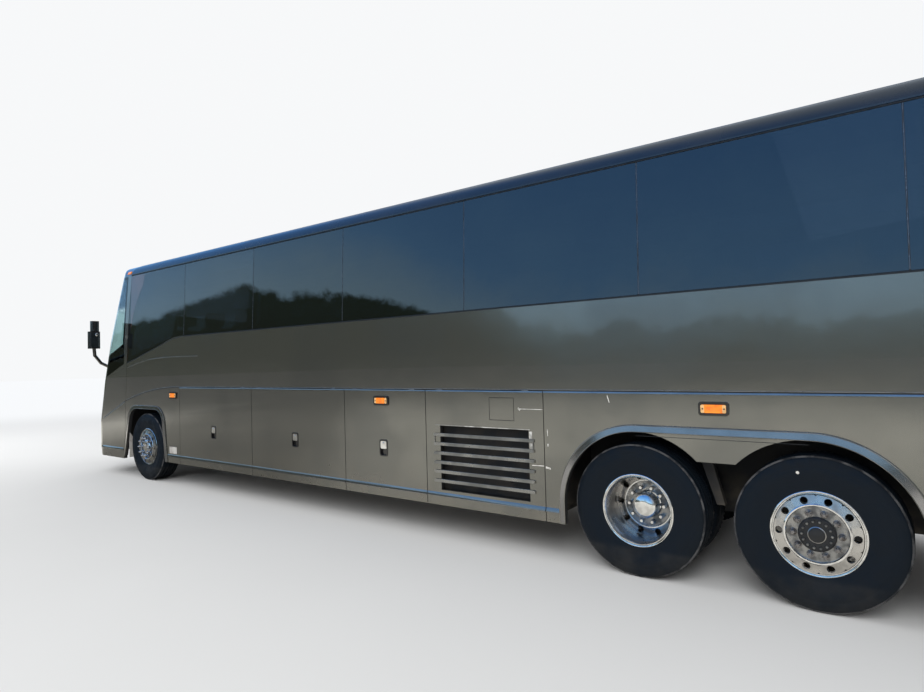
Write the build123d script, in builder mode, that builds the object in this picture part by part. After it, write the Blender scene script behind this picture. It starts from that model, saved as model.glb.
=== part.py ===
"""Three-axle highway coach, in millimetres.

Frame: +X forward, +Y to the coach's left, +Z up. Origin on the ground under the middle of the overall box.
"""

from build123d import *
import math
import os

# Overall coach
LENGTH = 13840.0
HALF_WIDTH = 1295.0
X_FRONT = LENGTH / 2
X_REAR = -LENGTH / 2
FAR = 9000.0

# Wheels and axles
FRONT_OVERHANG = 2020.0
WHEELBASE = 7960.0
TAG_SPACING = 1240.0
X_STEER = X_FRONT - FRONT_OVERHANG
X_DRIVE = X_STEER - WHEELBASE
X_TAG = X_DRIVE - TAG_SPACING
X_BETWEEN = (X_DRIVE + X_TAG) / 2
TYRE_R = 525.0
TYRE_W = 304.0
TREAD_W = 264.0
TYRE_INSET = 23.0
DUAL_SPACING = 340.0
WHEEL_Y = HALF_WIDTH - TYRE_INSET - TYRE_W / 2
INNER_WHEEL_Y = WHEEL_Y - DUAL_SPACING
RIM_R = 305.0
RIM_W = 250.0
RIM_LIP = 12.0
BEAD_DEPTH = 22.0
DISC = 24.0
STEER_MOUNT = 134.0
HAND_HOLES = 10
HAND_HOLE_R = 24.0
HAND_HOLE_RING_R = 230.0
NUTS = 10
NUT_RING_R = 143.0
NUT_R = 17.0
NUT_H = 34.0
SPINDLE_R = 55.0
WHEEL_PLACES = [
    # place, axle, twin, radius of the hub's cap
    ("front", X_STEER, False, 80.0),
    ("drive", X_DRIVE, True, 98.0),
    ("tag", X_TAG, False, 55.0),
]

# Clearances, walls and gaps
FIT = 0.3
WALL = 50.0
SKIN = 40.0
GLASS = 8.0
GAP = 8.0
SEAM = 3.0
GROOVE = 5.0

# Heights of the side
SKIRT_Z = 340.0
TRIM_Z = 436.0
DOOR_TOP_Z = 1475.0
BELT_Z = 2230.0
GUTTER_Z = 3300.0
GUTTER_Y = 1250.0
RAIL_Y = 1040.0
RAIL_Z = 3480.0
ROOF_Z = 3530.0
BUMPER_Z = 290.0
BUMPER_TOP_Z = 865.0
REAR_BUMPER_Z = 320.0
REAR_BUMPER_TOP_Z = 620.0

# The seam between the side and the front end leans back with height
SEAM_FOOT_X = 5635.0
SEAM_LEAN = 0.08
X_CAP_REAR = -6450.0

# Windows
PILLAR = 60.0
WINDOW_PITCH = 1710.0
X_FIRST_DIVIDER = 3690.0
DIVIDER_COUNT = 6
DIVIDERS = [X_FIRST_DIVIDER - i * WINDOW_PITCH for i in range(DIVIDER_COUNT)]
FRAME_LAP = 40.0
DRIVER_WINDOW_FRONT = [(5427.0, 1960.0), (5054.0, 3260.0)]

# The belt sweeps down in front of the first divider
SWEEP_X = 4300.0
SWEEP_Z = 2137.0
SWEEP_END_X = 5550.0
SWEEP_END_Z = 1842.0

# The line over the flaps sweeps down in front of the first flap, and on to the bumper's corner
SPLIT_MID = (4700.0, 1414.0)
SPLIT_END = (5560.0, 1236.0)
BUMPER_CORNER_X = 6565.0

# Arches
REAR_ARCH_R = 630.0
REAR_ARCHES = (-3085.0, -4275.0)
REAR_ARCH_MIDDLE = sum(REAR_ARCHES) / 2
ARCH_LIP = 50.0
LIP_PROUD = 10.0
GUSSET_Z = 955.0
FRONT_ARCH_FOOT = (5660.0, 4205.0)
FRONT_ARCH_HEAD = (5350.0, 4350.0)
FRONT_ARCH_TOP = 1125.0
FRONT_ARCH_R = 230.0

# Knuckles of the hinges, hidden in the gap at the skin
PIN_R = 2.5
EYE_R = 5.0
EYE_LENGTH = 50.0
LUG_LENGTH = 12.0
KNUCKLE_ROOM = 1.0
HINGE_EDGE = 180.0

# Flaps along the side
BAY_EDGES = [3830.0, 2030.0, 260.0, -930.0, -2270.0]
X_RADIATOR = -5130.0
CONDENSER_GRILLE = (-2116.0, -1112.0, 490.0, 1120.0)
RADIATOR_GRILLE = (-6290.0, -5290.0, 560.0, 1330.0)
FLAP_LAMP_X = -315.0
SIDE_FLAPS = [
    # node, side, rear edge, front edge, grille as (rear, front, bottom, top), bars, lamp
    ("luggage_door_left_front", 1, BAY_EDGES[1], BAY_EDGES[0], None, 0, None),
    ("luggage_door_left_middle", 1, BAY_EDGES[2], BAY_EDGES[1], None, 0, None),
    ("luggage_door_left_rear", 1, BAY_EDGES[3], BAY_EDGES[2], None, 0, FLAP_LAMP_X),
    ("condenser_door", 1, BAY_EDGES[4], BAY_EDGES[3], CONDENSER_GRILLE, 6, None),
    ("radiator_door_left", 1, X_CAP_REAR, X_RADIATOR, RADIATOR_GRILLE, 9, None),
    ("luggage_door_right_front", -1, BAY_EDGES[1], BAY_EDGES[0], None, 0, None),
    ("luggage_door_right_middle", -1, BAY_EDGES[2], BAY_EDGES[1], None, 0, None),
    ("luggage_door_right_rear", -1, BAY_EDGES[3], BAY_EDGES[2], None, 0, FLAP_LAMP_X),
    ("service_door_right", -1, BAY_EDGES[4], BAY_EDGES[3], None, 0, None),
    ("radiator_door_right", -1, X_CAP_REAR, X_RADIATOR, RADIATOR_GRILLE, 9, None),
]
HANDLE_Z = 850.0
HANDLE_W = 110.0
HANDLE_H = 170.0
HANDLE_DEEP = 22.0
PADDLE_MARGIN = 12.0
GRILLE_BAR = 24.0
GRILLE_REACH = 58.0
GRILLE_PROUD = 9.0
FILLER_LID = (-1970.0, -1700.0, 1195.0, 1405.0)

# Marker lamps on the fixed panels
MARKER_W = 200.0
MARKER_H = 90.0
MARKER_PROUD = 10.0
MARKER_Z = 1350.0
MARKERS_X = [4010.0, -3680.0]

# Floors
FLOOR_Z = 1450.0
FLOOR = 40.0
SILL_INSET = 60.0
SILL_LAP = 4.0
SILL_ABOVE = 80.0
SILL_BELOW = 10.0
PLATFORM_Z = 1200.0
X_PLATFORM = 4700.0
X_PLATFORM_FRONT = 6420.0
PLATFORM_RIGHT = -700.0
PLATFORM_LEFT = 1100.0
BAY_FLOOR_Z = 400.0
BAY_FLOOR = 36.0
SHEET = 30.0

# Entry steps behind the door: rear edge, front edge, inner side
STAIRS = (5670.0, 6330.0, -480.0)
STEPS = 3
FIRST_STEP_Z = 400.0
STEP_RISE = 270.0
STEP_RUN = 250.0

# Rows of the front and rear forms: height, tip from the origin, half width, corner radius
FRONT_LEVELS = [
    (240, 6870, 1295, 450),
    (480, 6918, 1295, 450),
    (860, 6920, 1295, 450),
    (1550, 6745, 1295, 450),
    (2230, 6500, 1295, 450),
    (3300, 6060, 1250, 430),
    (3420, 5980, 1246, 430),
    (3500, 5860, 1244, 430),
    (3560, 5600, 1242, 430),
]
REAR_LEVELS = [
    (240, 6870, 1295, 260),
    (480, 6918, 1295, 260),
    (860, 6920, 1295, 260),
    (1550, 6900, 1295, 260),
    (2230, 6840, 1295, 260),
    (3300, 6690, 1250, 250),
    (3440, 6630, 1246, 250),
    (3560, 6470, 1242, 250),
]
FRONT_BOW = 4500.0
REAR_BOW = 9000.0
X_ENVELOPE = 4800.0

# Entry door in side view, as (x, z), on the right of the front end
DOOR_REAR_X = 5650.0
DOOR_FRONT_X = 6330.0
DOOR_OUTLINE = [(DOOR_REAR_X, 380), (DOOR_FRONT_X, 380), (DOOR_FRONT_X, 1200), (5906, 2760), (DOOR_REAR_X, 2760)]
DOOR_GLASS_OUTLINE = [(5730, 1240), (6232, 1240), (5866, 2670), (5730, 2670)]
DOOR_EYE_Z = [560.0, 1080.0]

# Windscreen in side view, as (x, z)
SCREEN_TOP_Z = 3290.0
SCREEN_LEFT = [(5590, 1850), (6380, 1590), (7000, 1390), (7000, SCREEN_TOP_Z), (5486, SCREEN_TOP_Z)]
SCREEN_RIGHT = [
    (6275, 1625), (6380, 1590), (7000, 1390), (7000, SCREEN_TOP_Z), (5486, SCREEN_TOP_Z), (5520, 2835), (5955, 2835),
]
SCREEN_POST = 14.0
SCREEN_THICK = 12.0

# Headlamps: inner side, outer side, bottom, top
HEADLAMP = (640.0, 1120.0, 905.0, 1110.0)
X_LAMP_BACK = 6600.0

# Rear end: openings as (half width, bottom, top), and tail lamps as (inner side, outer side, bottom, top)
ENGINE_DOOR = (880.0, 660.0, 1800.0)
ENGINE_EYE_Y = 200.0
ENGINE_SLOTS = 9
SLOT_HALF_W = 620.0
SLOT_H = 28.0
SLOT_PITCH = 60.0
SLOT_START = 260.0
REAR_WINDOW = (900.0, 2260.0, 3080.0)
TAIL_LAMP = (950.0, 1150.0, 950.0, 1550.0)

# Rear licence plate: recess and the screw pattern inside it
PLATE_W = 330.0
PLATE_H = 180.0
PLATE_Z = 470.0
PLATE_X = -6898.0
PLATE_SCREW_W = 177.8
PLATE_SCREW_H = 120.65
PLATE_SCREW_R = 3.3

# Front tow sockets in the bumper
TOW_Y = 350.0
TOW_Z = 430.0
TOW_R = 21.0
TOW_TUBE_R = 45.0
TOW_MOUTH_R = 60.0
TOW_MOUTH_X = 6862.0
TOW_DEPTH = 150.0

# Mirrors: side, middle of the head in plan, and the arm's points below it
MIRRORS = [
    (1, 6075.0, 1553.0, [(6080.0, 1540.0, 2005.0), (6350.0, 1335.0, 1880.0), (6640.0, 1060.0, 1800.0)]),
    (-1, 6490.0, 1520.0, [(6495.0, 1505.0, 2005.0), (6560.0, 1335.0, 1880.0), (6660.0, 1060.0, 1800.0)]),
]
MIRROR_ARM_END = (6600.0, 1000.0, 1500.0)
MIRROR_ARM_R = 26.0
MIRROR_SIZE = (115.0, 165.0, 285.0)
MIRROR_TOP_SIZE = (100.0, 118.0, 190.0)
MIRROR_EDGE_R = 28.0

# Running gear
RAIL_HALF_GAP = 330.0
RAIL_W = 90.0
RAIL_Z0 = 640.0
RAIL_H = 160.0
KINGPIN_Y = 880.0
KINGPIN_R = 22.0
KINGPIN_HALF = 160.0
FORK_R = 50.0
BOSS_R = 48.0
BOSS_HALF = 40.0
FORK_GAP = 6.0
BEAM = 90.0
BEAM_Z = 400.0
BEAM_H = 80.0
STEER_ARM = 230.0
STEER_ARM_Z = 362.0
STEER_ARM_H = 28.0
AXLE_R = 70.0
TAG_AXLE_R = 58.0
DIFFERENTIAL_R = 210.0
SPRING_R = 68.0
REAR_SPRING_R = 80.0
SPRING_SPREAD = 200.0

# Wheel housings
HOUSING = 12.0
HOUSING_LOW_Z = 440.0
FRONT_HOUSING_AHEAD = 650.0
FRONT_HOUSING_BEHIND = 700.0
FRONT_HOUSING_Y = 460.0
FRONT_HOUSING_Z = 1140.0
REAR_HOUSING_Y = 570.0
REAR_HOUSING_Z = 1190.0
REAR_HOUSING_MARGIN = 690.0
BRACKET_Y = 1000.0
BRACKET_W = 60.0

# Seats and racks
ROWS = 14
ROW_PITCH = 800.0
X_LAST_ROW = -6250.0
SEAT_W = 990.0
SEAT_Y = 722.0
RACK_INNER_Y = 900.0
RACK_Z = 2900.0
RACK_H = 180.0

# Steering column
COLUMN_TILT = 62.0
COLUMN_R = 32.0
COLUMN_REACH = 70.0
COLUMN_LENGTH = 315.0
WHEEL_CENTRE = (5930.0, 640.0, 1760.0)
COLUMN_AXIS = (-math.cos(math.radians(COLUMN_TILT)), 0.0, math.sin(math.radians(COLUMN_TILT)))


def prism_x(points, x0, x1):
    """Solid with a polygon of (y, z) points, from x0 to x1."""
    with BuildPart() as prism:
        with BuildSketch(Plane.YZ.offset(x0)):
            with BuildLine():
                Polyline(*points, close=True)
            make_face()
        extrude(amount=x1 - x0)
    return prism.part


def prism_y(points, y0, y1):
    """Solid with a polygon of (x, z) points, from y0 to y1."""
    with BuildPart() as prism:
        with BuildSketch(Plane.XZ.offset(-y0)):
            with BuildLine():
                Polyline(*points, close=True)
            make_face()
        extrude(amount=-(y1 - y0))
    return prism.part


def block(x0, x1, y0, y1, z0, z1):
    """Box between two corners."""
    with BuildPart() as box:
        with Locations(((x0 + x1) / 2, (y0 + y1) / 2, (z0 + z1) / 2)):
            Box(abs(x1 - x0), abs(y1 - y0), abs(z1 - z0))
    return box.part


def rod(start, end, radius):
    """Round bar between two points."""
    axis = Vector(*end) - Vector(*start)
    with BuildPart() as bar:
        with BuildSketch(Plane(origin=start, z_dir=axis)):
            Circle(radius)
        extrude(amount=axis.length)
    return bar.part


def side_y(z, inset):
    """Distance of the side's surface from the middle, at a height."""
    if z <= BELT_Z:
        return HALF_WIDTH - inset
    lean = (HALF_WIDTH - GUTTER_Y) * (z - BELT_Z) / (GUTTER_Z - BELT_Z)
    return HALF_WIDTH - lean - inset


def slab(outer, inner, x0, x1, z0, z1):
    """Left wall layer between two insets, following the lean above the belt."""
    heights = [z0] + [z for z in (BELT_Z,) if z0 < z < z1] + [z1]
    points = [(side_y(z, outer), z) for z in heights]
    points += [(side_y(z, inner), z) for z in reversed(heights)]
    return prism_x(points, x0, x1)


def put_on_side(part, side):
    """A left part, or its mirror image on the right."""
    return part if side > 0 else mirror(part, about=Plane.XZ)


def group(*parts):
    """Solids that don't touch, kept together as one piece."""
    return Compound(children=[solid for part in parts for solid in part.solids()])


def both_sides(part):
    """The part and its mirror image across the middle plane."""
    return group(part, mirror(part, about=Plane.XZ))


def write(part, name):
    """Label a finished piece and write its file."""
    part.label = name
    export_step(part, f"parts/{name}.step")


def ahead_of_seam(shift):
    """Everything in front of the leaning seam, moved forward by a shift."""
    top = 4000.0
    foot, head = SEAM_FOOT_X + shift, SEAM_FOOT_X - SEAM_LEAN * top + shift
    return prism_y([(foot, 0), (FAR, 0), (FAR, top), (head, top)], -FAR / 2, FAR / 2)


def under_split(shift):
    """Everything under the line that sweeps down from the first flap to the seam, raised by a shift."""
    x0 = BAY_EDGES[0]
    start, end = (x0, DOOR_TOP_Z + shift), (SPLIT_END[0], SPLIT_END[1] + shift)
    with BuildPart() as under:
        with BuildSketch(Plane.XZ):
            with BuildLine():
                ThreePointArc(start, (SPLIT_MID[0], SPLIT_MID[1] + shift), end)
                Polyline(end, (FAR, end[1]), (FAR, 0), (x0, 0), start)
            make_face()
        extrude(amount=FAR / 2, both=True)
    return under.part


def under_bumper_line(shift):
    """Everything under the bumper's top edge, which rises from its corner to the seam, raised by a shift."""
    slope = (SPLIT_END[1] - BUMPER_TOP_Z) / (BUMPER_CORNER_X - SPLIT_END[0])
    reach = 200.0
    back = SPLIT_END[0] - reach
    outline = [
        (back, SPLIT_END[1] + reach * slope + shift), (BUMPER_CORNER_X, BUMPER_TOP_Z + shift),
        (FAR, BUMPER_TOP_Z + shift), (FAR, 0), (back, 0),
    ]
    return prism_y(outline, -FAR / 2, FAR / 2)


def cap_level(z, tip, half, radius, bow, inset, sign):
    """Plan outline of an end at one height: sides, two corner arcs and a bowed end."""
    tip, half, radius, bow = tip - inset, half - inset, radius - inset, bow - inset
    bow_centre = tip - bow
    corner_x = bow_centre + math.sqrt((bow - radius) ** 2 - (half - radius) ** 2)
    reach = Vector(corner_x - bow_centre, half - radius).normalized()
    touch = (bow_centre + bow * reach.X, bow * reach.Y)
    middle = (Vector(0, 1) + reach).normalized()
    bend = (corner_x + radius * middle.X, half - radius + radius * middle.Y)
    with BuildSketch(Plane.XY.offset(z)) as level:
        with BuildLine():
            Line((sign * X_ENVELOPE, -half), (sign * X_ENVELOPE, half))
            Line((sign * X_ENVELOPE, half), (sign * corner_x, half))
            ThreePointArc((sign * corner_x, half), (sign * bend[0], bend[1]), (sign * touch[0], touch[1]))
            ThreePointArc((sign * touch[0], touch[1]), (sign * tip, 0), (sign * touch[0], -touch[1]))
            ThreePointArc((sign * touch[0], -touch[1]), (sign * bend[0], -bend[1]), (sign * corner_x, -half))
            Line((sign * corner_x, -half), (sign * X_ENVELOPE, -half))
        make_face()
    return level.sketch


def roof_outline(inset):
    """Cross-section of the coach from under the bumper to the roof, as arcs and lines."""
    half, gutter = HALF_WIDTH - inset, GUTTER_Y - inset
    bend = (GUTTER_Y - 60 - 0.75 * inset, GUTTER_Z + 112 - 0.65 * inset)
    rail_z, top = RAIL_Z - inset, ROOF_Z - inset
    low = 200.0
    Polyline((-gutter, GUTTER_Z), (-half, BELT_Z), (-half, low), (half, low), (half, BELT_Z), (gutter, GUTTER_Z))
    ThreePointArc((gutter, GUTTER_Z), bend, (RAIL_Y, rail_z))
    ThreePointArc((RAIL_Y, rail_z), (0, top), (-RAIL_Y, rail_z))
    ThreePointArc((-RAIL_Y, rail_z), (-bend[0], bend[1]), (-gutter, GUTTER_Z))


def envelope(levels, bow, inset, sign):
    """Solid form of one end of the coach, set in by a wall."""
    overlap = 2.0
    with BuildPart() as end:
        for z, tip, half, radius in levels:
            add(cap_level(z, tip, half + overlap, radius, bow, inset, sign))
        loft(ruled=True)
        with BuildSketch(Plane.YZ.offset(sign * X_ENVELOPE)):
            with BuildLine():
                roof_outline(inset)
            make_face()
        extrude(amount=sign * (X_FRONT - X_ENVELOPE + 100), mode=Mode.INTERSECT)
    return end.part


def face_x(levels, bow, y, z):
    """How far from the origin an end's bowed face stands at a place on it."""
    for low, high in zip(levels, levels[1:]):
        if low[0] <= z <= high[0]:
            tip = low[1] + (high[1] - low[1]) * (z - low[0]) / (high[0] - low[0])
    return tip - bow + math.sqrt(bow**2 - y**2)


def knuckle_place(origin, x_dir, z_dir):
    """Place of a hinge knuckle: its X along the pin, its Z towards the fixed side."""
    return Plane(origin=origin, x_dir=x_dir, z_dir=z_dir).location


def knuckle_pin():
    """Pin and its two lugs, which belong to the fixed side."""
    reach = EYE_LENGTH / 2 + LUG_LENGTH
    neck = 2 * EYE_R + 1
    with BuildPart() as pin:
        add(rod((-reach, 0, 0), (reach, 0, 0), PIN_R))
        for end in (-1, 1):
            near, far = sorted((end * (EYE_LENGTH / 2 + 1), end * reach))
            add(rod((near, 0, 0), (far, 0, 0), EYE_R))
            add(block(near, far, -EYE_R, 0, 0, neck))
    return pin.part


def knuckle_eye():
    """Eye round the pin, which belongs to the moving side."""
    half = EYE_LENGTH / 2
    neck = 2 * EYE_R + 1
    with BuildPart() as eye:
        add(rod((-half, 0, 0), (half, 0, 0), EYE_R))
        add(block(-half, half, -EYE_R, 0, -neck, 0))
        add(rod((-half - 1, 0, 0), (half + 1, 0, 0), PIN_R + FIT), mode=Mode.SUBTRACT)
    return eye.part


def knuckle_room():
    """Room round the whole knuckle, cut from both sides of the gap."""
    reach = EYE_LENGTH / 2 + LUG_LENGTH + KNUCKLE_ROOM
    return rod((-reach, 0, 0), (reach, 0, 0), EYE_R + KNUCKLE_ROOM)


def hinge_fixed(part, places):
    """The fixed side with a pin at each place."""
    for place in places:
        part = part - place * knuckle_room() + place * knuckle_pin()
    return part


def hinge_moving(part, places):
    """The moving side with an eye at each place."""
    for place in places:
        part = part - place * knuckle_room() + place * knuckle_eye()
    return part


def flap_hinges(x0, x1):
    """Knuckle places along a side flap's top edge, on the left."""
    z = DOOR_TOP_Z - GAP / 2
    return [
        knuckle_place((x, HALF_WIDTH, z), (1, 0, 0), (0, 0, 1))
        for x in (x0 + HINGE_EDGE, x1 - HINGE_EDGE)
    ]


def belt_shape(y0, y1, grow, top):
    """Cutter or filler for the glazed band in front of the first divider, with its swept lower edge."""
    x0 = X_FIRST_DIVIDER
    start, bend, end = (x0, BELT_Z - grow), (SWEEP_X, SWEEP_Z - grow), (SWEEP_END_X, SWEEP_END_Z - grow)
    mid = ((x0 + SWEEP_X) / 2 + 30, BELT_Z - 22 - grow)
    with BuildPart() as band:
        with BuildSketch(Plane.XZ.offset(-y0)):
            with BuildLine():
                ThreePointArc(start, mid, bend)
                Polyline(bend, end, (SWEEP_END_X, top), (x0, top), start)
            make_face()
        extrude(amount=-(y1 - y0))
    return band.part


def front_arch(grow, y0, y1):
    """Flat-topped arch shape of the front wheel, narrower at its top, grown all round."""
    top = FRONT_ARCH_TOP + grow
    outline = [
        (FRONT_ARCH_FOOT[0] + grow, 0), (FRONT_ARCH_HEAD[0] + grow, top),
        (FRONT_ARCH_HEAD[1] - grow, top), (FRONT_ARCH_FOOT[1] - grow, 0),
    ]
    with BuildPart() as arch:
        with BuildSketch(Plane.XZ.offset(-y0)) as sketch:
            with BuildLine():
                Polyline(*outline, close=True)
            make_face()
            fillet(sketch.vertices().group_by(Axis.Y)[-1], FRONT_ARCH_R + grow)
        extrude(amount=-(y1 - y0))
    return arch.part


def rear_arch(radius, gusset, y0, y1):
    """Arch shape over the two rear wheels, with or without the gusset between them."""
    between = GUSSET_Z if gusset else TYRE_R + radius
    with BuildPart() as arch:
        with BuildSketch(Plane.XZ.offset(-y0)):
            with Locations(*[(x, TYRE_R) for x in REAR_ARCHES]):
                Circle(radius)
            with Locations((REAR_ARCH_MIDDLE, TYRE_R / 2)):
                Rectangle(REAR_ARCHES[0] - REAR_ARCHES[1] + 2 * radius, TYRE_R)
            with Locations((REAR_ARCH_MIDDLE, between / 2)):
                Rectangle(REAR_ARCHES[0] - REAR_ARCHES[1], between)
        extrude(amount=-(y1 - y0))
    return arch.part


def window_openings(y0, y1):
    """Openings through the wall behind each pane."""
    low, high = BELT_Z + FRAME_LAP, GUTTER_Z - FRAME_LAP
    fronts = [x - PILLAR / 2 for x in DIVIDERS]
    backs = [x + PILLAR / 2 for x in DIVIDERS[1:]] + [X_CAP_REAR + 2 * PILLAR]
    cuts = [block(x0, x1, y0, y1, low, high) for x1, x0 in zip(fronts, backs)]
    x_first = X_FIRST_DIVIDER + PILLAR / 2
    driver = [(x_first, low), (SWEEP_X, SWEEP_Z + FRAME_LAP), *DRIVER_WINDOW_FRONT, (x_first, high)]
    return cuts + [prism_y(driver, y0, y1)]


def make_side_walls():
    """Upper walls with a rebate for the glass, window openings and hinge pins along the bottom."""
    rebate = GLASS + FIT
    y_in, y_out = HALF_WIDTH - 400, HALF_WIDTH + 50
    x_back, x_front = X_CAP_REAR + SEAM, SEAM_FOOT_X
    low = SPLIT_END[1] - 100
    sill_low = FLOOR_Z - FLOOR - SILL_BELOW
    with BuildPart() as wall:
        add(slab(0, WALL, x_back, x_front, DOOR_TOP_Z, GUTTER_Z))
        add(slab(0, WALL, BAY_EDGES[0], x_front, low, DOOR_TOP_Z + 1))
        add(under_split(0), mode=Mode.SUBTRACT)
        add(slab(WALL - SILL_LAP, SILL_INSET, x_back, x_front, sill_low, DOOR_TOP_Z + SILL_ABOVE))
        add(slab(-5, rebate, X_CAP_REAR + PILLAR, X_FIRST_DIVIDER, BELT_Z, GUTTER_Z), mode=Mode.SUBTRACT)
        layer = slab(-5, rebate, X_FIRST_DIVIDER - 1, x_front, low, GUTTER_Z)
        add(belt_shape(y_in, y_out, 0, GUTTER_Z) & layer, mode=Mode.SUBTRACT)
        for cut in window_openings(y_in, y_out):
            add(cut, mode=Mode.SUBTRACT)
        add(ahead_of_seam(-SEAM), mode=Mode.SUBTRACT)
    sides = []
    for side in (1, -1):
        places = []
        for _, flap_side, x0, x1, _, _, _ in SIDE_FLAPS:
            if flap_side == side:
                places += flap_hinges(x0, x1)
        sides.append(put_on_side(hinge_fixed(wall.part, places), side))
    return group(*sides)


def make_side_glass():
    """One pane between each pair of dividers, and the front pane with its swept edge."""
    gap = 5.0
    top = GUTTER_Z - SEAM
    edges = DIVIDERS + [X_CAP_REAR + PILLAR]
    panes = []
    for x1, x0 in zip(edges, edges[1:]):
        panes.append(slab(0, GLASS, x0 + gap, x1 - gap, BELT_Z + SEAM, top))
    layer = slab(0, GLASS, X_FIRST_DIVIDER + gap, SEAM_FOOT_X, SPLIT_END[1], top)
    driver = belt_shape(HALF_WIDTH - 200, HALF_WIDTH + 50, -SEAM, top) & layer
    panes.append(driver - ahead_of_seam(-SEAM - gap))
    return both_sides(group(*panes))


def make_lower_panels():
    """Fixed lower sides: the panels round the wheels, with grooves in line with the flaps, arch lips and gusset."""
    y0, y1 = HALF_WIDTH - 3 * WALL, HALF_WIDTH + 3 * WALL
    low, high = HALF_WIDTH - 1, HALF_WIDTH + LIP_PROUD
    top = DOOR_TOP_Z - FIT
    with BuildPart() as panels:
        add(slab(0, SKIN, X_RADIATOR + SEAM, BAY_EDGES[-1] - SEAM, SKIRT_Z, top))
        add(slab(0, SKIN, BAY_EDGES[0] + SEAM, SEAM_FOOT_X, SKIRT_Z, top) & under_split(-FIT))
        add(slab(-1, GROOVE, X_RADIATOR, BAY_EDGES[-1], DOOR_TOP_Z - GAP, DOOR_TOP_Z), mode=Mode.SUBTRACT)
        step = slab(-1, GROOVE, BAY_EDGES[0], SEAM_FOOT_X, SPLIT_END[1] - 100, DOOR_TOP_Z)
        add(step - under_split(-GAP), mode=Mode.SUBTRACT)
        add(slab(-1, GROOVE, X_RADIATOR, SEAM_FOOT_X, TRIM_Z - GROOVE, TRIM_Z + GROOVE), mode=Mode.SUBTRACT)
        for raised in (
            front_arch(ARCH_LIP, low, high),
            rear_arch(REAR_ARCH_R + ARCH_LIP, False, low, high),
        ):
            add(raised - block(X_REAR, X_FRONT, 0, FAR, -FAR, SKIRT_Z))
        add(rear_arch(REAR_ARCH_R, False, HALF_WIDTH, y1), mode=Mode.SUBTRACT)
        add(rear_arch(REAR_ARCH_R, True, y0, y1), mode=Mode.SUBTRACT)
        add(front_arch(0, y0, y1), mode=Mode.SUBTRACT)
        add(ahead_of_seam(-SEAM), mode=Mode.SUBTRACT)
    return both_sides(panels.part)


def marker_base(x):
    """Plain block of a side marker lamp, on the left."""
    low, high = MARKER_Z - MARKER_H / 2, MARKER_Z + MARKER_H / 2
    return block(x - MARKER_W / 2, x + MARKER_W / 2, HALF_WIDTH, HALF_WIDTH + MARKER_PROUD, low, high)


def make_side_flap(side, x0, x1, grille, bars, lamp_x):
    """Top-hinged flap with a trim groove, a handle pocket or a grille, and a lamp base where it has one."""
    places = flap_hinges(x0, x1)
    x0, x1, top = x0 + GAP / 2, x1 - GAP / 2, DOOR_TOP_Z - GAP
    middle = (x0 + x1) / 2
    skin = HALF_WIDTH
    with BuildPart() as flap:
        add(slab(0, SKIN, x0, x1, SKIRT_Z, top))
        add(block(x0, x1, skin - GROOVE, skin + 1, TRIM_Z - GROOVE, TRIM_Z + GROOVE), mode=Mode.SUBTRACT)
        if grille:
            gx0, gx1, gz0, gz1 = grille
            add(block(gx0, gx1, 0, FAR, gz0, gz1), mode=Mode.SUBTRACT)
            pitch = (gz1 - gz0) / (bars + 1)
            for i in range(bars):
                z = gz0 + pitch * (i + 1)
                low, high = z - GRILLE_BAR / 2, z + GRILLE_BAR / 2
                add(block(gx0 - GRILLE_REACH, gx1 + GRILLE_REACH, skin - 4, skin + GRILLE_PROUD, low, high))
        else:
            low, high = HANDLE_Z - HANDLE_H / 2, HANDLE_Z + HANDLE_H / 2
            left, right = middle - HANDLE_W / 2, middle + HANDLE_W / 2
            deep = skin - HANDLE_DEEP
            margin = PADDLE_MARGIN
            add(block(left, right, deep, skin + 1, low, high), mode=Mode.SUBTRACT)
            add(block(left + margin, right - margin, deep - 1, skin - 2, HANDLE_Z, high - margin))
        if grille == CONDENSER_GRILLE:
            lx0, lx1, lz0, lz1 = FILLER_LID
            ring = block(lx0, lx1, skin - GROOVE, skin + 1, lz0, lz1)
            inside = block(lx0 + GROOVE, lx1 - GROOVE, skin - 2 * GROOVE, skin + 2, lz0 + GROOVE, lz1 - GROOVE)
            add(ring - inside, mode=Mode.SUBTRACT)
        if lamp_x is not None:
            add(marker_base(lamp_x))
    return put_on_side(hinge_moving(flap.part, places), side)


def make_roof():
    """Roof skin between the two ends, with a drip rail along each gutter and two escape hatches."""
    drip = 12.0
    with BuildPart() as roof:
        with BuildSketch(Plane.YZ.offset(X_CAP_REAR + SEAM)):
            with BuildLine():
                roof_outline(0)
            make_face()
            with BuildLine():
                roof_outline(WALL)
            make_face(mode=Mode.SUBTRACT)
            with Locations((0, GUTTER_Z / 2)):
                Rectangle(3 * HALF_WIDTH, GUTTER_Z + FIT, mode=Mode.SUBTRACT)
            for y in (-1, 1):
                with Locations((y * (GUTTER_Y + drip / 2 - 3), GUTTER_Z + drip / 2 + 6)):
                    Rectangle(drip, drip)
        extrude(amount=SEAM_FOOT_X - X_CAP_REAR - SEAM)
        add(ahead_of_seam(-SEAM), mode=Mode.SUBTRACT)
        for x in (X_STEER - 1400, X_TAG):
            with Locations((x, 0, ROOF_Z + 10)):
                Box(900, 750, 50)
    return roof.part


def door_hinges():
    """Knuckle places of the entry door, up its front edge."""
    x = DOOR_FRONT_X - GAP / 2
    return [knuckle_place((x, -HALF_WIDTH, z), (0, 0, 1), (1, 0, 0)) for z in DOOR_EYE_Z]


def shrink_outline(points, gap):
    """The outline moved in by a gap all round."""
    with BuildSketch() as outline:
        with BuildLine():
            Polyline(*points, close=True)
        make_face()
        offset(amount=-gap, kind=Kind.INTERSECTION)
    corners = outline.sketch.faces()[0].outer_wire().order_edges()
    return [(e.start_point().X, e.start_point().Y) for e in corners]


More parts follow.
